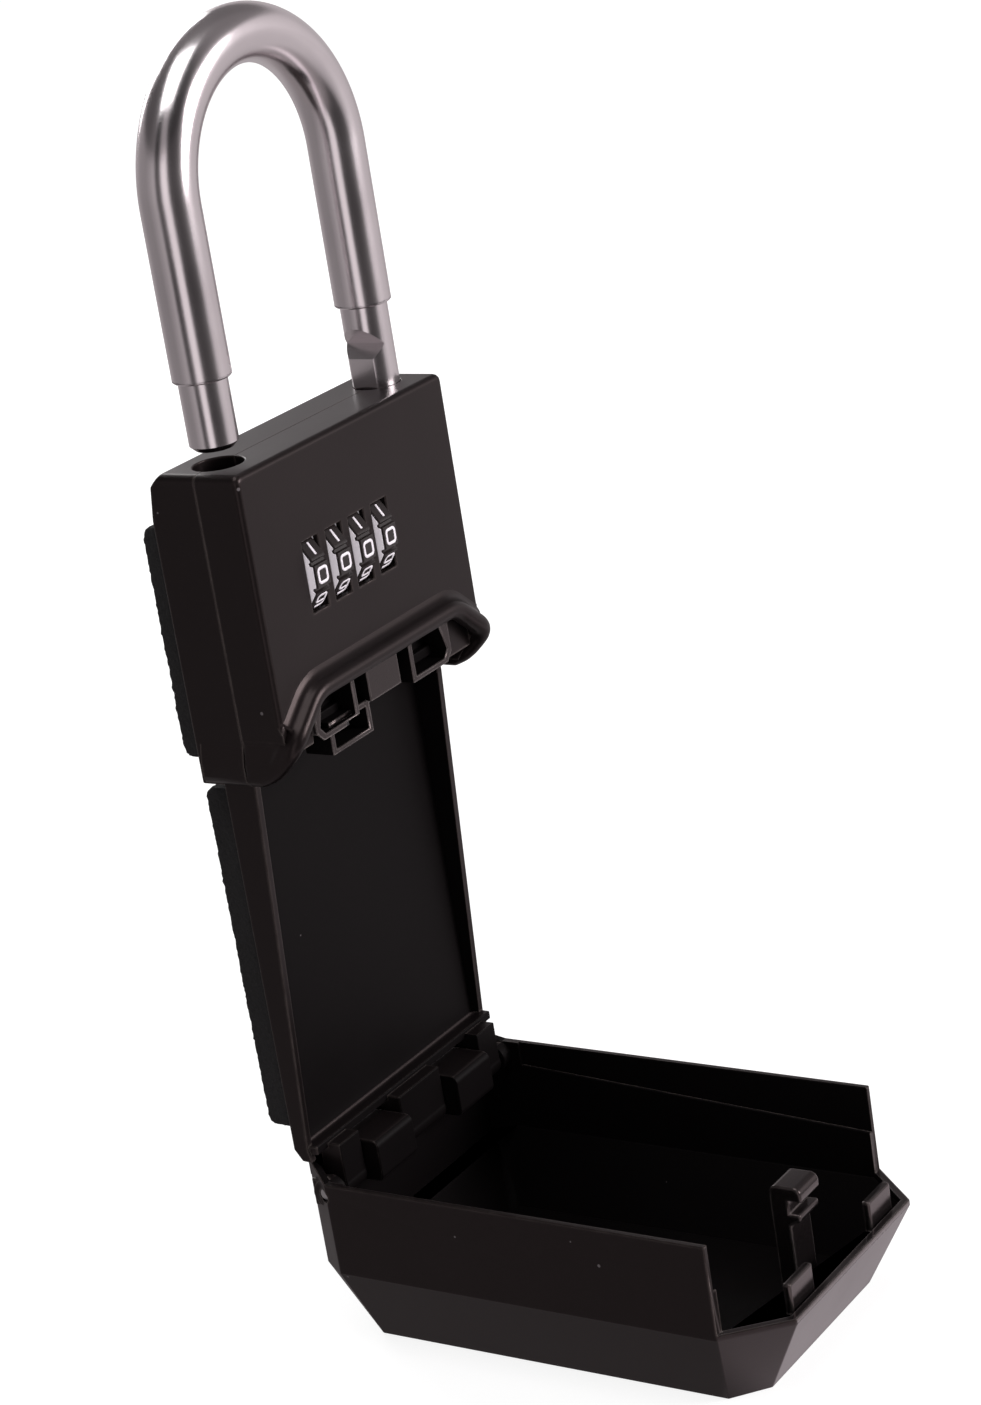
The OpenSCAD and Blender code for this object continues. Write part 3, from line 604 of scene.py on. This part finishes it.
def tube(name, points, radius, facets, material):
    """A round bar along the points, as a mesh with its doubles merged and faces outwards."""
    def build(tree, start):
        ring = tree.nodes.new("GeometryNodeCurvePrimitiveCircle")
        link(tree, start.outputs["Bar radius"], ring.inputs["Radius"])
        link(tree, start.outputs["Facets"], ring.inputs["Resolution"])
        return swept(tree, start.outputs["Geometry"], ring.outputs["Curve"], material)

    line = line_object(name + "_line", [(points, False)])
    sizes = {"Bar radius": radius, "Facets": float(facets)}
    mesh = tree_mesh(line, name + "_sweep", sizes, build)
    clean(mesh)
    return mesh


# %% [markdown]
# ## Helpers for solids
# Straight, turned and flowing solids are all lofts: rings of corners, with faces from each
# ring to the next and one at either end. A straight solid has two equal rings, and a turned
# one has a round ring for each point of its outline. Openings are cut with booleans.

# %% Solid helpers
CAD_DOUBLES = 3e-6      # corners of a solid that lie closer than this are one corner


def clean(mesh, merge=2e-6):
    """Merges doubles and turns the faces outwards."""
    b = bmesh.new()
    b.from_mesh(mesh)
    bmesh.ops.remove_doubles(b, verts=b.verts, dist=merge)
    bmesh.ops.recalc_face_normals(b, faces=b.faces)
    b.to_mesh(mesh)
    b.free()


def made_mesh(b, name):
    """Turns the faces of a bmesh outwards and keeps it as a mesh."""
    bmesh.ops.recalc_face_normals(b, faces=b.faces)
    if b.calc_volume(signed=True) < 0:
        bmesh.ops.reverse_faces(b, faces=b.faces)
    mesh = bpy.data.meshes.new(name)
    b.to_mesh(mesh)
    b.free()
    return mesh


def wall(b, one, two):
    """Faces between two rings of corners."""
    for k in range(len(one)):
        j = (k + 1) % len(one)
        b.faces.new((one[k], one[j], two[j], two[k]))


def loft(name, sections):
    """A closed solid through rings of points."""
    b = bmesh.new()
    rings = [[b.verts.new(p) for p in ring] for ring in sections]
    for one, two in zip(rings, rings[1:]):
        wall(b, one, two)
    b.faces.new(rings[0])
    b.faces.new(rings[-1])
    return made_mesh(b, name)


def prism(name, outline, low, high, across):
    """A straight solid on a 2D outline; across is the axis it runs along, x or y."""
    order = {"x": lambda p, t: at(t, p[0], p[1]), "y": lambda p, t: at(p[0], t, p[1])}[across]
    return loft(name, [[order(p, t) for p in outline] for t in (low, high)])


def lathe(name, outline, axis_x, axis_y, steps):
    """A turned solid about an upright axis; the outline is (radius, height) from end to end."""
    turns = [math.tau * k / steps for k in range(steps)]
    return loft(name, [[at(axis_x + radius * math.cos(a), axis_y + radius * math.sin(a), z)
                        for a in turns] for radius, z in outline])


def carve(mesh, cutters):
    """Cuts the cutter meshes out of mesh with exact booleans."""
    target = thing("carved", mesh)
    tools = []
    for cutter in cutters:
        tool = thing("cutter", cutter)
        modifier = target.modifiers.new("cut", "BOOLEAN")
        modifier.operation = "DIFFERENCE"
        modifier.solver = "EXACT"
        modifier.object = tool
        tools.append(tool)
    result = settle(target)
    for obj in (*tools, target):
        bpy.data.objects.remove(obj)
    return result


def joined(name, meshes):
    """Several meshes as one, each as it is."""
    b = bmesh.new()
    for mesh in meshes:
        b.from_mesh(mesh)
    result = bpy.data.meshes.new(name)
    b.to_mesh(result)
    b.free()
    return result


def smooth(mesh, degrees):
    """Smooth shading, with edges sharper than this left sharp."""
    mesh.shade_smooth()
    mesh.set_sharp_from_angle(angle=math.radians(degrees))


# %% [markdown]
# ## Shackle
# A bar of round steel bent into a U, with both ends turned down to a smaller size. Its
# shape follows a rule, so a tree sweeps a circle along the bend, and the turned ends are
# lathed. The long leg has a wedge cut for its lock bolt, a flat below that, and a neck that
# turns round the retaining pin. The short leg has a small notch for the other bolt.

# %% Shackle bow
LEG = 25.2              # half the distance between the legs
BAR = 5.4               # radius of the bow
END = 4.5               # radius of the turned ends
DEPTH = 9.6             # from the front face to the middle of the bar
LIFT = 15.6             # how far the shackle stands up
STRAIGHT = 30.4
OVERLAP = 0.4           # the bow starts a little above the shoulders
BEND_STEPS = 72
ROUND = 72
bend_z = LIFT + STRAIGHT
bow_line = [at(-LEG, DEPTH, LIFT + OVERLAP)]
for k in range(BEND_STEPS + 1):
    a = math.pi * (1 - k / BEND_STEPS)
    bow_line.append(at(LEG * math.cos(a), DEPTH, bend_z + LEG * math.sin(a)))
bow_line.append(at(LEG, DEPTH, LIFT + OVERLAP))
bow = tube("bow", bow_line, BAR * MM, ROUND, bright_plating)
print("bow", len(bow.polygons), "faces")

# %% Turned ends
SHOULDER = LIFT + 0.06      # a hair above the housing when the shackle is shut
CHAMFER = 0.25
NOTCH = LIFT - 7.4
NECK_TOP = LIFT - 21.2
NECK_FOOT = LIFT - 28
NECK = 2.66
HEEL_FOOT = LIFT - 36
TOE_FOOT = LIFT - 12.6
FLAT_CUT = 0.9
TOE_NOTCH = 3.04            # from the middle of the short leg to the floor of its notch
BOLT = 6                    # half the width that is cut across a leg
shoulder = [(END, SHOULDER), (BAR - CHAMFER, SHOULDER), (BAR, SHOULDER + CHAMFER),
            (BAR, LIFT + 0.6)]
toe = lathe("toe", [(END - 1, TOE_FOOT), (END, TOE_FOOT + 1), *shoulder], -LEG, DEPTH, ROUND)
heel = lathe("heel", [(END - 0.4, HEEL_FOOT), (END, HEEL_FOOT + 0.4), (END, NECK_FOOT),
                      (NECK, NECK_FOOT), (NECK, NECK_TOP), (END, NECK_TOP), *shoulder],
             LEG, DEPTH, ROUND)
wedge = prism("wedge", [(LEG - BAR, NOTCH + 3.5), (LEG - END, NOTCH + 3.5),
                        (LEG - END + 3.2, NOTCH), (LEG - END + FLAT_CUT, NOTCH - 2.5),
                        (LEG - END + FLAT_CUT, NECK_TOP - 0.01), (LEG - BAR, NECK_TOP - 0.01)],
              DEPTH - BOLT, DEPTH + BOLT, "y")
toe_notch = prism("toe_notch", [(-LEG + TOE_NOTCH, NOTCH - 2), (-LEG + BAR, NOTCH - 2),
                                (-LEG + BAR, NOTCH + 2.2), (-LEG + TOE_NOTCH, NOTCH + 2.2)],
                  DEPTH - BOLT, DEPTH + BOLT, "y")
shackle_mesh = joined("shackle_bar", [bow, carve(toe, [toe_notch]), carve(heel, [wedge])])
smooth(shackle_mesh, 30)
piece("shackle_bar", shackle_mesh, bright_plating, "shackle", "shackle")

# %% [markdown]
# ## Castings
# The three castings keep the solids' own shape, but a real casting has no knife edges. A
# copy of each solid is merged into clean faces, and a Bevel modifier rounds its convex
# edges by a weight that each edge gets: full for open edges, a trace where the two shells
# meet, so that only a fine seam shows. A Weighted Normal modifier keeps the flats flat.

# %% Casting copies
EVEN = math.radians(0.5)        # faces that turn less than this become one face
CONVEX = math.radians(30)       # edges that turn more than this are rounded
FOLD = 0.26 * MM


def on_pocket_front(p):
    """The flat frame round the two lug pockets keeps its triangles: it has holes in it."""
    return abs(p.y - 0.5) < 0.02 and p.z < -44


def at_front_corner(p):
    """The upper corners of the front face, where the rounding folds over itself."""
    return abs(p.y) < 0.02 and p.z > -2.4 and abs(p.x) > 29


def casting_copy(node, width, weight_of, cutters=()):
    """A copy of a solid with rounded edges; weight_of gives each edge its share of width."""
    mesh = frame["nodes"][node].data.copy()
    clean(mesh, CAD_DOUBLES)
    if cutters:
        mesh = carve(mesh, cutters)
    b = bmesh.new()
    b.from_mesh(mesh)
    bmesh.ops.remove_doubles(b, verts=b.verts, dist=CAD_DOUBLES)
    loose = [e for e in b.edges if not all(on_pocket_front(local(v.co)) for v in e.verts)]
    bmesh.ops.dissolve_limit(b, angle_limit=EVEN, verts=b.verts, edges=loose)
    bmesh.ops.recalc_face_normals(b, faces=b.faces)
    weights = b.edges.layers.float.new("bevel_weight_edge")
    count = 0
    for edge in b.edges:
        if len(edge.link_faces) == 2 and edge.calc_face_angle_signed() > CONVEX:
            edge[weights] = weight_of(local(edge.verts[0].co), local(edge.verts[1].co))
            count += edge[weights] > 0
    b.to_mesh(mesh)
    b.free()
    obj = thing(node + "_copy", mesh)
    bevel = obj.modifiers.new("soft_edges", "BEVEL")
    bevel.width = width * MM
    bevel.segments = 4
    bevel.limit_method = "WEIGHT"
    bevel.use_clamp_overlap = False
    mesh = settle(obj)
    bpy.data.objects.remove(obj)
    b = bmesh.new()
    b.from_mesh(mesh)
    folded = [v for v in b.verts if at_front_corner(local(v.co))]
    bmesh.ops.remove_doubles(b, verts=folded, dist=FOLD)
    b.to_mesh(mesh)
    b.free()
    print(node, count, "edges rounded")
    return mesh


def recoat(obj, coat, chosen):
    """Gives the faces for which chosen is true another coat."""
    obj.data.materials.append(coat)
    for face in obj.data.polygons:
        if chosen(local(face.center), face.normal):
            face.material_index = len(obj.data.materials) - 1


def flat_shaded(obj):
    """Lets the large flat faces decide the shading, so that they stay flat."""
    modifier = obj.modifiers.new("flat_faces", "WEIGHTED_NORMAL")
    modifier.keep_sharp = True
    modifier.weight = 100


# %% Back shell
SHELL_ROUND = 1.25
SEAM = 9.6              # depth of the joint between the two shells
SEAM_SHARE = 0.12
SMALL_SHARE = 0.2


def shell_weight(a, b):
    """Full at the rim of the front face, a trace at the seam and at small openings."""
    if abs(a.y - SEAM) < 0.02 and abs(b.y - SEAM) < 0.02:
        return SEAM_SHARE
    if all(p.y < 0.02 and p.z > -53 and (abs(p.x) > 31 or p.z > -1.7) for p in (a, b)):
        return 1.0
    return SMALL_SHARE if (a - b).length > 0.35 else 0.0


rear_mesh = casting_copy("rear_case", SHELL_ROUND, shell_weight)

# %% [markdown]
# ## Lip
# Below the dials a thick rounded lip runs across the front, slopes down at both sides and
# turns back along the bottom edge. The face sweeps out onto it in a soft curve. On the
# solid it is made of straight bars, so here that part is cut off the copy and made again.
# First comes the line that the lip follows, with round bends.

# %% Line of the lip
LIP = 1.75              # radius of the lip
LIP_OUT = 1.4           # how far its middle stands in front of the face
LOBE = 31.95            # half the width of its line
SKIRT = -57.25          # height of its line along the bottom
HALF_LIP = [(23.2, -LIP_OUT, -43.5), (LOBE, -LIP_OUT, -50.9), (LOBE, 3.2, -55.4),
            (LOBE, 6.4, SKIRT), (LOBE, SEAM, SKIRT)]
LIP_CORNERS = [(-x, y, z) for x, y, z in reversed(HALF_LIP)] + HALF_LIP
BEND_REACH = 3.0
CURVE_STEPS = 8


def rounded_line(corners, reach):
    """The line through the corners, with each bend made a curve that starts reach before it."""
    corners = [Vector(c) for c in corners]
    line = [corners[0]]
    for before, corner, after in zip(corners, corners[1:], corners[2:]):
        back, ahead = before - corner, after - corner
        near_side = corner + back.normalized() * min(reach, back.length * 0.49)
        far_side = corner + ahead.normalized() * min(reach, ahead.length * 0.49)
        for k in range(CURVE_STEPS + 1):
            t = k / CURVE_STEPS
            line.append(near_side * (1 - t) ** 2 + corner * 2 * t * (1 - t) + far_side * t * t)
    return line + [corners[-1]]


lip_line = rounded_line(LIP_CORNERS, BEND_REACH)
print("lip line", len(lip_line), "points")

# %% [markdown]
# ## Front shell
# The bead of the solid goes: what stands in front of the face, what stands out at the
# sides, and what lies below the line that it follows back to the seam. Straight cutters
# leave a clean copy. Nothing is rounded near the cuts, because the new lip covers them.

# %% Front shell
SIDE = 33.0             # half the width of the housing
BEYOND = 40             # well outside it
BELOW = -61
SIDE_CUT = SIDE - 0.1
OUTER = 35
UNDER = [(-0.6, -51.7), (5.0, SKIRT + 0.02), (SEAM + 0.1, SKIRT + 0.02), (SEAM + 0.1, BELOW),
         (-0.6, BELOW)]
cutters = [prism("in_front", [(-BEYOND, -70), (BEYOND, -70), (BEYOND, 2), (-BEYOND, 2)],
                 -9, -0.02, "y")]
for sign in (-1, 1):
    inner, outer = sign * SIDE_CUT, sign * OUTER
    cutters.append(prism("outside", [(inner, BELOW), (outer, BELOW), (outer, -50), (inner, -50)],
                         -0.6, SEAM + 0.1, "y"))
    cutters.append(prism("under", UNDER, sign * 29.4, outer, "x"))


def near_lip(p):
    """Whether a point lies close to the line of the bead, or on the cut side below it."""
    if p.z < -49.4 and abs(p.x) > 29:
        return True
    for one, two in zip(LIP_CORNERS, LIP_CORNERS[1:]):
        start, run = Vector(one), Vector(two) - Vector(one)
        share = min(max((p - start).dot(run) / run.length_squared, 0), 1)
        if (p - start - run * share).length < LIP + 0.1:
            return True
    return False


def cover_weight(a, b):
    """Nothing is rounded where the lip will cover it."""
    if near_lip(a) or near_lip(b):
        return 0.0
    if all(p.y < 0.03 and p.z < -36 and abs(p.x) < 32.5 for p in (a, b)):
        return 0.0
    return shell_weight(a, b)


cover_mesh = casting_copy("front_cover", SHELL_ROUND, cover_weight, cutters)

# %% [markdown]
# ## Cove and side swell
# Above the lip the face flows out to it in a hollow curve, the cove. On the sides the
# housing swells a little to meet the lip. Both are lofts: a section is carried along a
# line, and faces are drawn from each section to the next.

# %% Cove
COVE_TURN = math.radians(75)
COVE_RADIUS = (LIP * math.cos(COVE_TURN) + LIP_OUT) / (1 - math.cos(COVE_TURN))
COVE_TOP = (LIP + COVE_RADIUS) * math.sin(COVE_TURN)
COVE_SIDE = SIDE - 0.15
cove_section = [(0.2, -1), (0.2, LIP_OUT)]
for k in range(CURVE_STEPS + 1):
    a = COVE_TURN * (CURVE_STEPS - k) / CURVE_STEPS
    cove_section.append((COVE_TOP - COVE_RADIUS * math.sin(a),
                         COVE_RADIUS * (1 - math.cos(a)) - 0.03))
cove_section.append((COVE_TOP, -1))
front_part = [p for p in lip_line if p.y < 0.05 - LIP_OUT]
sections = []
for n, point in enumerate(front_part):
    before, after = front_part[max(n - 1, 0)], front_part[min(n + 1, len(front_part) - 1)]
    run = Vector((after.x - before.x, 0, after.z - before.z)).normalized()
    rise = Vector((-run.z, 0, run.x))
    ring = []
    for high, out in cove_section:
        place = Vector((point.x, 0, point.z)) + rise * high
        ring.append(at(min(max(place.x, -COVE_SIDE), COVE_SIDE), -out, place.z))
    sections.append(ring)
cove = loft("cove", sections)
print("cove", len(sections), "sections")

# %% Side swell
SWELL_OUT = 0.74
SWELL_TOP = -50.2
SWELL_DROP = 4.8
SWELL_SECTIONS = 12
swell = [(31.0, SWELL_TOP), (SIDE - 0.05, SWELL_TOP)]
for k in range(CURVE_STEPS + 1):
    t = k / CURVE_STEPS
    swell.append((SIDE - 0.05 + SWELL_OUT * t * t * (3 - 2 * t), SWELL_TOP - 0.2 - SWELL_DROP * t))
for k in range(CURVE_STEPS + 1):
    a = -math.pi * k / CURVE_STEPS
    swell.append((LOBE - 0.06 + (LIP + 0.06) * math.cos(a), SKIRT + (LIP + 0.06) * math.sin(a)))


def skirt(low, high, side_sign):
    """The swelling along the bottom of one side, from depth low to depth high."""
    return prism("skirt", [(side_sign * x, z) for x, z in swell], low, high, "y")


def side_swell(side_sign):
    """The swelling on the side of the front shell, ending at the slanted front edge."""
    sections = []
    for n in range(SWELL_SECTIONS + 1):
        y = 0.6 + (SEAM - 0.64) * n / SWELL_SECTIONS
        low, high = next((a, b) for a, b in zip(HALF_LIP[1:], HALF_LIP[2:]) if y <= b[1])
        foot = low[2] + (high[2] - low[2]) * (y - low[1]) / (high[1] - low[1])
        sections.append([at(side_sign * x, y, max(z, foot) if z > SKIRT else z - SKIRT + foot)
                         for x, z in swell])
    return loft("side_swell", sections)


swells = [side_swell(1), side_swell(-1)]
print("side swell", SWELL_SECTIONS + 1, "sections each")

# %% [markdown]
# ## One flowing lip
# The bar of the lip, a second bar that backs it up inside the shell, the cove and the
# swells overlap. A voxel remesh makes one skin of them, and a few rounds of smoothing let
# the parts flow together. Behind the seam the swell goes on straight, as a plain solid.

# %% Lip and skirts
LIP_VOXEL = 0.3
SMOOTHINGS = 8
LIP_FACETS = 40
SKIRT_END = 19.5
bead = tube("bead", [at(*p) for p in lip_line], LIP * MM, LIP_FACETS, black_coat)
backing = tube("backing", [at(p.x, p.y + LIP_OUT, p.z) for p in lip_line], (LIP - 0.05) * MM,
               LIP_FACETS, black_coat)
clump = thing("lip_clump", joined("lip", [bead, backing, cove, *swells]))
even = clump.modifiers.new("even", "REMESH")
even.mode = "VOXEL"
even.voxel_size = LIP_VOXEL * MM
flow = clump.modifiers.new("flow", "SMOOTH")
flow.factor = 0.5
flow.iterations = SMOOTHINGS
lip_mesh = settle(clump)
bpy.data.objects.remove(clump)
lip_mesh.shade_smooth()
piece("lip", lip_mesh, black_coat, "case")
rear_skirts = joined("rear_skirts", [skirt(SEAM + 0.04, SKIRT_END, sign) for sign in (1, -1)])
smooth(rear_skirts, 40)
piece("rear_skirts", rear_skirts, black_coat, "case")

# %% [markdown]
# ## Coats of the shells
# The tray and the pockets get a darker, duller coat than the outside: painted shade, for the
# shade that falls inside them. The frames round the pockets get a glossier coat with painted
# highlights.

# %% Shell pieces
SHELL_SHARP = 32
POCKETS_HALF = 22.7
POCKET_FRONT = 1.8


def in_tray(p, n):
    return p.z < -60 and abs(p.x) < 29.7 and (n.y < -0.5 or p.x * n.x < 0)


def in_pocket(p, n):
    return -58.5 < p.z < -44 and abs(p.x) < POCKETS_HALF and p.y > POCKET_FRONT


def on_pocket_frame(p, n):
    return -59 < p.z < -44.5 and abs(p.x) < POCKETS_HALF and 0.1 < p.y < POCKET_FRONT


for name, node, mesh in (("rear_shell", "rear_case", rear_mesh),
                         ("front_shell", "front_cover", cover_mesh)):
    smooth(mesh, SHELL_SHARP)
    shell = piece(name, mesh, black_coat, "case", node)
    # Painted shade inside the tray and the pockets, painted highlights on the pocket frames.
    recoat(shell, painted_shade_coat, in_tray)
    recoat(shell, painted_shade_coat, in_pocket)
    recoat(shell, painted_highlight_coat, on_pocket_frame)
    flat_shaded(shell)

# %% [markdown]
# ## Door
# The door is a deep pan with a latch hook and two lugs, which are rounder than the walls.
# Its inside gets the same painted shade as the tray, and the hook and the lugs get the glossier
# coat with painted highlights.

# %% Door
DOOR_ROUND = 0.5
WALL_SHARE = 0.5


def on_catches(p):
    """Whether a point lies on the hook or the lugs."""
    return abs(p.x) < 21 and p.z > -166 and -86 < p.y < -60


def door_weight(a, b):
    """The hook and the lugs get the full width, the walls less."""
    if (a - b).length < 0.3:
        return 0.0
    return 1.0 if on_catches(a) and on_catches(b) else WALL_SHARE


door_mesh = casting_copy("door", DOOR_ROUND, door_weight)
smooth(door_mesh, SHELL_SHARP)
door_pan = piece("door_pan", door_mesh, black_coat, "door", "door")
pan_middle = local((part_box("door")[0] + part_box("door")[1]) / 2)
# Painted shade on the inside of the pan, painted highlights on the hook and the lugs.
recoat(door_pan, painted_shade_coat, lambda p, n: (pan_middle - p).dot(n) > 0)
recoat(door_pan, painted_highlight_coat, lambda p, n: on_catches(p))
flat_shaded(door_pan)

# %% [markdown]
# ## Dials
# Each dial is a ring with ten flats, one for each number, and a grip groove between two
# flats. The radius is a simple rule of the angle, so the ring is made point by point. A
# pale disc covers its left flank.

# %% Dial rings
DIALS = 4
PITCH = 7.33
DIAL_X = -4.4
DIAL_Y = 6.7
DIAL_Z = -23.75
FLAT = 8.3              # from the axle to a flat
RIM = 8.5               # from the axle to the corners between flats
BORE = 4.56
HALF = 2.15             # half the thickness
CORNER = 0.2
STEP = math.tau / 10    # from one number to the next
GROOVE_FROM = 14.4      # degrees from the middle of a flat
GROOVE_EASE = 1.8
GROOVE_DEPTH = 0.55
RING_STEPS = 200
TURNS = [math.tau * k / RING_STEPS for k in range(RING_STEPS)]


def rim_radius(angle):
    """Distance of the rim from the axle; the angle is 0 at the front and grows upwards."""
    off = abs((angle + STEP / 2) % STEP - STEP / 2)
    groove = min(max((math.degrees(off) - GROOVE_FROM) / GROOVE_EASE, 0), 1)
    return min(RIM, FLAT / math.cos(off)) - GROOVE_DEPTH * groove * groove * (3 - 2 * groove)


def dial_point(i, x, radius, angle):
    """A point of dial i: x along the axle, radius from it, angle from the front."""
    centre = DIAL_X + (i - (DIALS - 1) / 2) * PITCH
    return at(centre + x, DIAL_Y - radius * math.cos(angle), DIAL_Z + radius * math.sin(angle))


def dial_ring(i, stations):
    """A closed ring; stations are (x, radius rule) pairs round its section."""
    b = bmesh.new()
    loops = [[b.verts.new(dial_point(i, x, rule(a), a)) for a in TURNS] for x, rule in stations]
    for n, loop in enumerate(loops):
        wall(b, loop, loops[(n + 1) % len(loops)])
    mesh = made_mesh(b, "ring")
    smooth(mesh, 25)
    return mesh


def flat_rule(radius):
    return lambda a: radius


def rim_rule(inset):
    return lambda a: rim_radius(a) - inset


rim_section = [(-HALF, flat_rule(BORE)), (-HALF, rim_rule(CORNER)), (-HALF + CORNER, rim_radius),
               (HALF - CORNER, rim_radius), (HALF, rim_rule(CORNER)), (HALF, flat_rule(BORE))]
DISC_OUT = -HALF - 0.08
DISC_IN = -HALF + 0.05
disc_section = [(DISC_OUT, flat_rule(4.6)), (DISC_OUT, rim_rule(0.42)),
                (DISC_IN, rim_rule(0.36)), (DISC_IN, flat_rule(4.6))]
for i in range(DIALS):
    body = f"dial_{i + 1}"
    piece(f"dial_ring_{i + 1}", dial_ring(i, rim_section), gloss_black, body,
          f"dial_wheel_{i + 1}")
    piece(f"dial_disc_{i + 1}", dial_ring(i, disc_section), flank_grey, body)

# %% [markdown]
# ## Numbers
# The numbers are moulded strokes of even width with round corners. A tree rounds the
# corners of plain strokes with Fillet Curve and sweeps a flat ribbon along them, and each
# number is then set onto its own flat of the ring.

# %% Strokes
W = 1.28                # half the width of a number, to the middle of its strokes
H = 1.32                # half its height
BAND = 0.3              # where the loops of 6 and 9 close
STROKES = {
    0: [([(-W, -H), (W, -H), (W, H), (-W, H)], True)],
    1: [([(0, -H), (0, H)], False)],
    2: [([(-W, H), (W, H), (W, 0), (-W, 0), (-W, -H), (W, -H)], False)],
    3: [([(-W, H), (W, H), (W, -H), (-W, -H)], False), ([(-W / 2, 0), (W, 0)], False)],
    4: [([(-W, H), (-W, 0), (W, 0)], False), ([(W, H), (W, -H)], False)],
    5: [([(W, H), (-W, H), (-W, 0), (W, 0), (W, -H), (-W, -H)], False)],
    6: [([(W, H), (-W, H), (-W, -H), (W, -H), (W, BAND), (-W, BAND)], False)],
    7: [([(-W, H), (W, H), (W, H / 2), (0, -H)], False)],
    8: [([(-W, -H), (W, -H), (W, H), (-W, H)], True), ([(-W, 0), (W, 0)], False)],
    9: [([(W, -BAND), (-W, -BAND), (-W, H), (W, H), (W, -H), (-W, -H)], False)],
}


def ribbon_tree(tree, start):
    """The nodes that round the corners of a line and sweep a flat ribbon along it."""
    corner = tree.nodes.new("GeometryNodeFilletCurve")
    corner.mode = "POLY"
    corner.inputs["Count"].default_value = 5
    link(tree, start.outputs["Geometry"], corner.inputs["Curve"])
    link(tree, start.outputs["Corner radius"], corner.inputs["Radius"])
    flat = tree.nodes.new("GeometryNodeCurvePrimitiveQuadrilateral")
    link(tree, start.outputs["Stroke width"], flat.inputs["Width"])
    link(tree, start.outputs["Stroke height"], flat.inputs["Height"])
    return swept(tree, corner.outputs[0], flat.outputs[0], number_white)


RIBBON = {"Corner radius": 0.6 * MM, "Stroke width": 0.55 * MM, "Stroke height": 0.1 * MM}
number_meshes = {}
for value, strokes in STROKES.items():
    line = line_object(f"number_{value}", [([(x * MM, y * MM, 0) for x, y in points], closed)
                                           for points, closed in strokes])
    number_meshes[value] = tree_mesh(line, f"ribbon_{value}", RIBBON, ribbon_tree)
thick = max(v.co.z for v in number_meshes[0].vertices) / MM
print("a stroke stands", round(thick, 3), "mm above its middle")

# %% Numbers on the dials
for i in range(DIALS):
    digits = bmesh.new()
    for value, mesh in number_meshes.items():
        angle = value * STEP
        first = len(digits.verts)
        digits.from_mesh(mesh)
        digits.verts.ensure_lookup_table()
        outward = Vector((0, -math.cos(angle), math.sin(angle)))
        upward = Vector((0, math.sin(angle), math.cos(angle)))
        middle_of_flat = dial_point(i, 0, FLAT, angle)
        for vert in digits.verts[first:]:
            u, v, w = vert.co
            vert.co = middle_of_flat + Vector((u, 0, 0)) + upward * v + outward * w
    bmesh.ops.remove_doubles(digits, verts=digits.verts, dist=1e-6)
    piece(f"dial_numbers_{i + 1}", made_mesh(digits, f"dial_numbers_{i + 1}"), number_white,
          f"dial_{i + 1}")

# %% [markdown]
# ## Foam pads
# Two pads of open black foam are glued to the back. Foam this firm keeps its cut shape, so
# no cloth is simulated: the block is remeshed finely, and noise pushes its skin about to
# give the torn, ragged surface. The glued face stays flat.

# %% Foam pads
FOAM_INSET = 0.3        # room inside the block for the skin to be pushed out
FOAM_VOXEL = 0.5
FOAM_NOISE = (("cells", 0.7, 0.5), ("waves", 4.0, 0.12))    # name, scale, strength


def foam_pad(node):
    """A ragged block of foam in place of the plain block of a node."""
    low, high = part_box(node)
    inset = FOAM_INSET * MM
    mesh = frame["nodes"][node].data.copy()
    clean(mesh, CAD_DOUBLES)
    centre = (low + high) / 2
    for vert in mesh.vertices:
        for axis in (0, 2):
            vert.co[axis] -= math.copysign(inset, vert.co[axis] - centre[axis])
        if vert.co.y > low.y + 1e-5:
            vert.co.y -= inset
    obj = thing(node + "_block", mesh)
    remesh = obj.modifiers.new("even", "REMESH")
    remesh.mode = "VOXEL"
    remesh.voxel_size = FOAM_VOXEL * MM
    for name, scale, strength in FOAM_NOISE:
        texture = bpy.data.textures.new(node + name, "CLOUDS")
        texture.noise_scale = scale * MM
        push = obj.modifiers.new(name, "DISPLACE")
        push.texture = texture
        push.texture_coords = "LOCAL"
        push.strength = strength * MM
        push.mid_level = 0.5
    mesh = settle(obj)
    bpy.data.objects.remove(obj)
    for vert in mesh.vertices:
        for axis in range(3):
            vert.co[axis] = min(max(vert.co[axis], low[axis]), high[axis])
    mesh.shade_smooth()
    return mesh


for node in ("upper_back_pad", "lower_back_pad"):
    pad = piece(node + "_foam", foam_pad(node), pad_foam, "case", node)
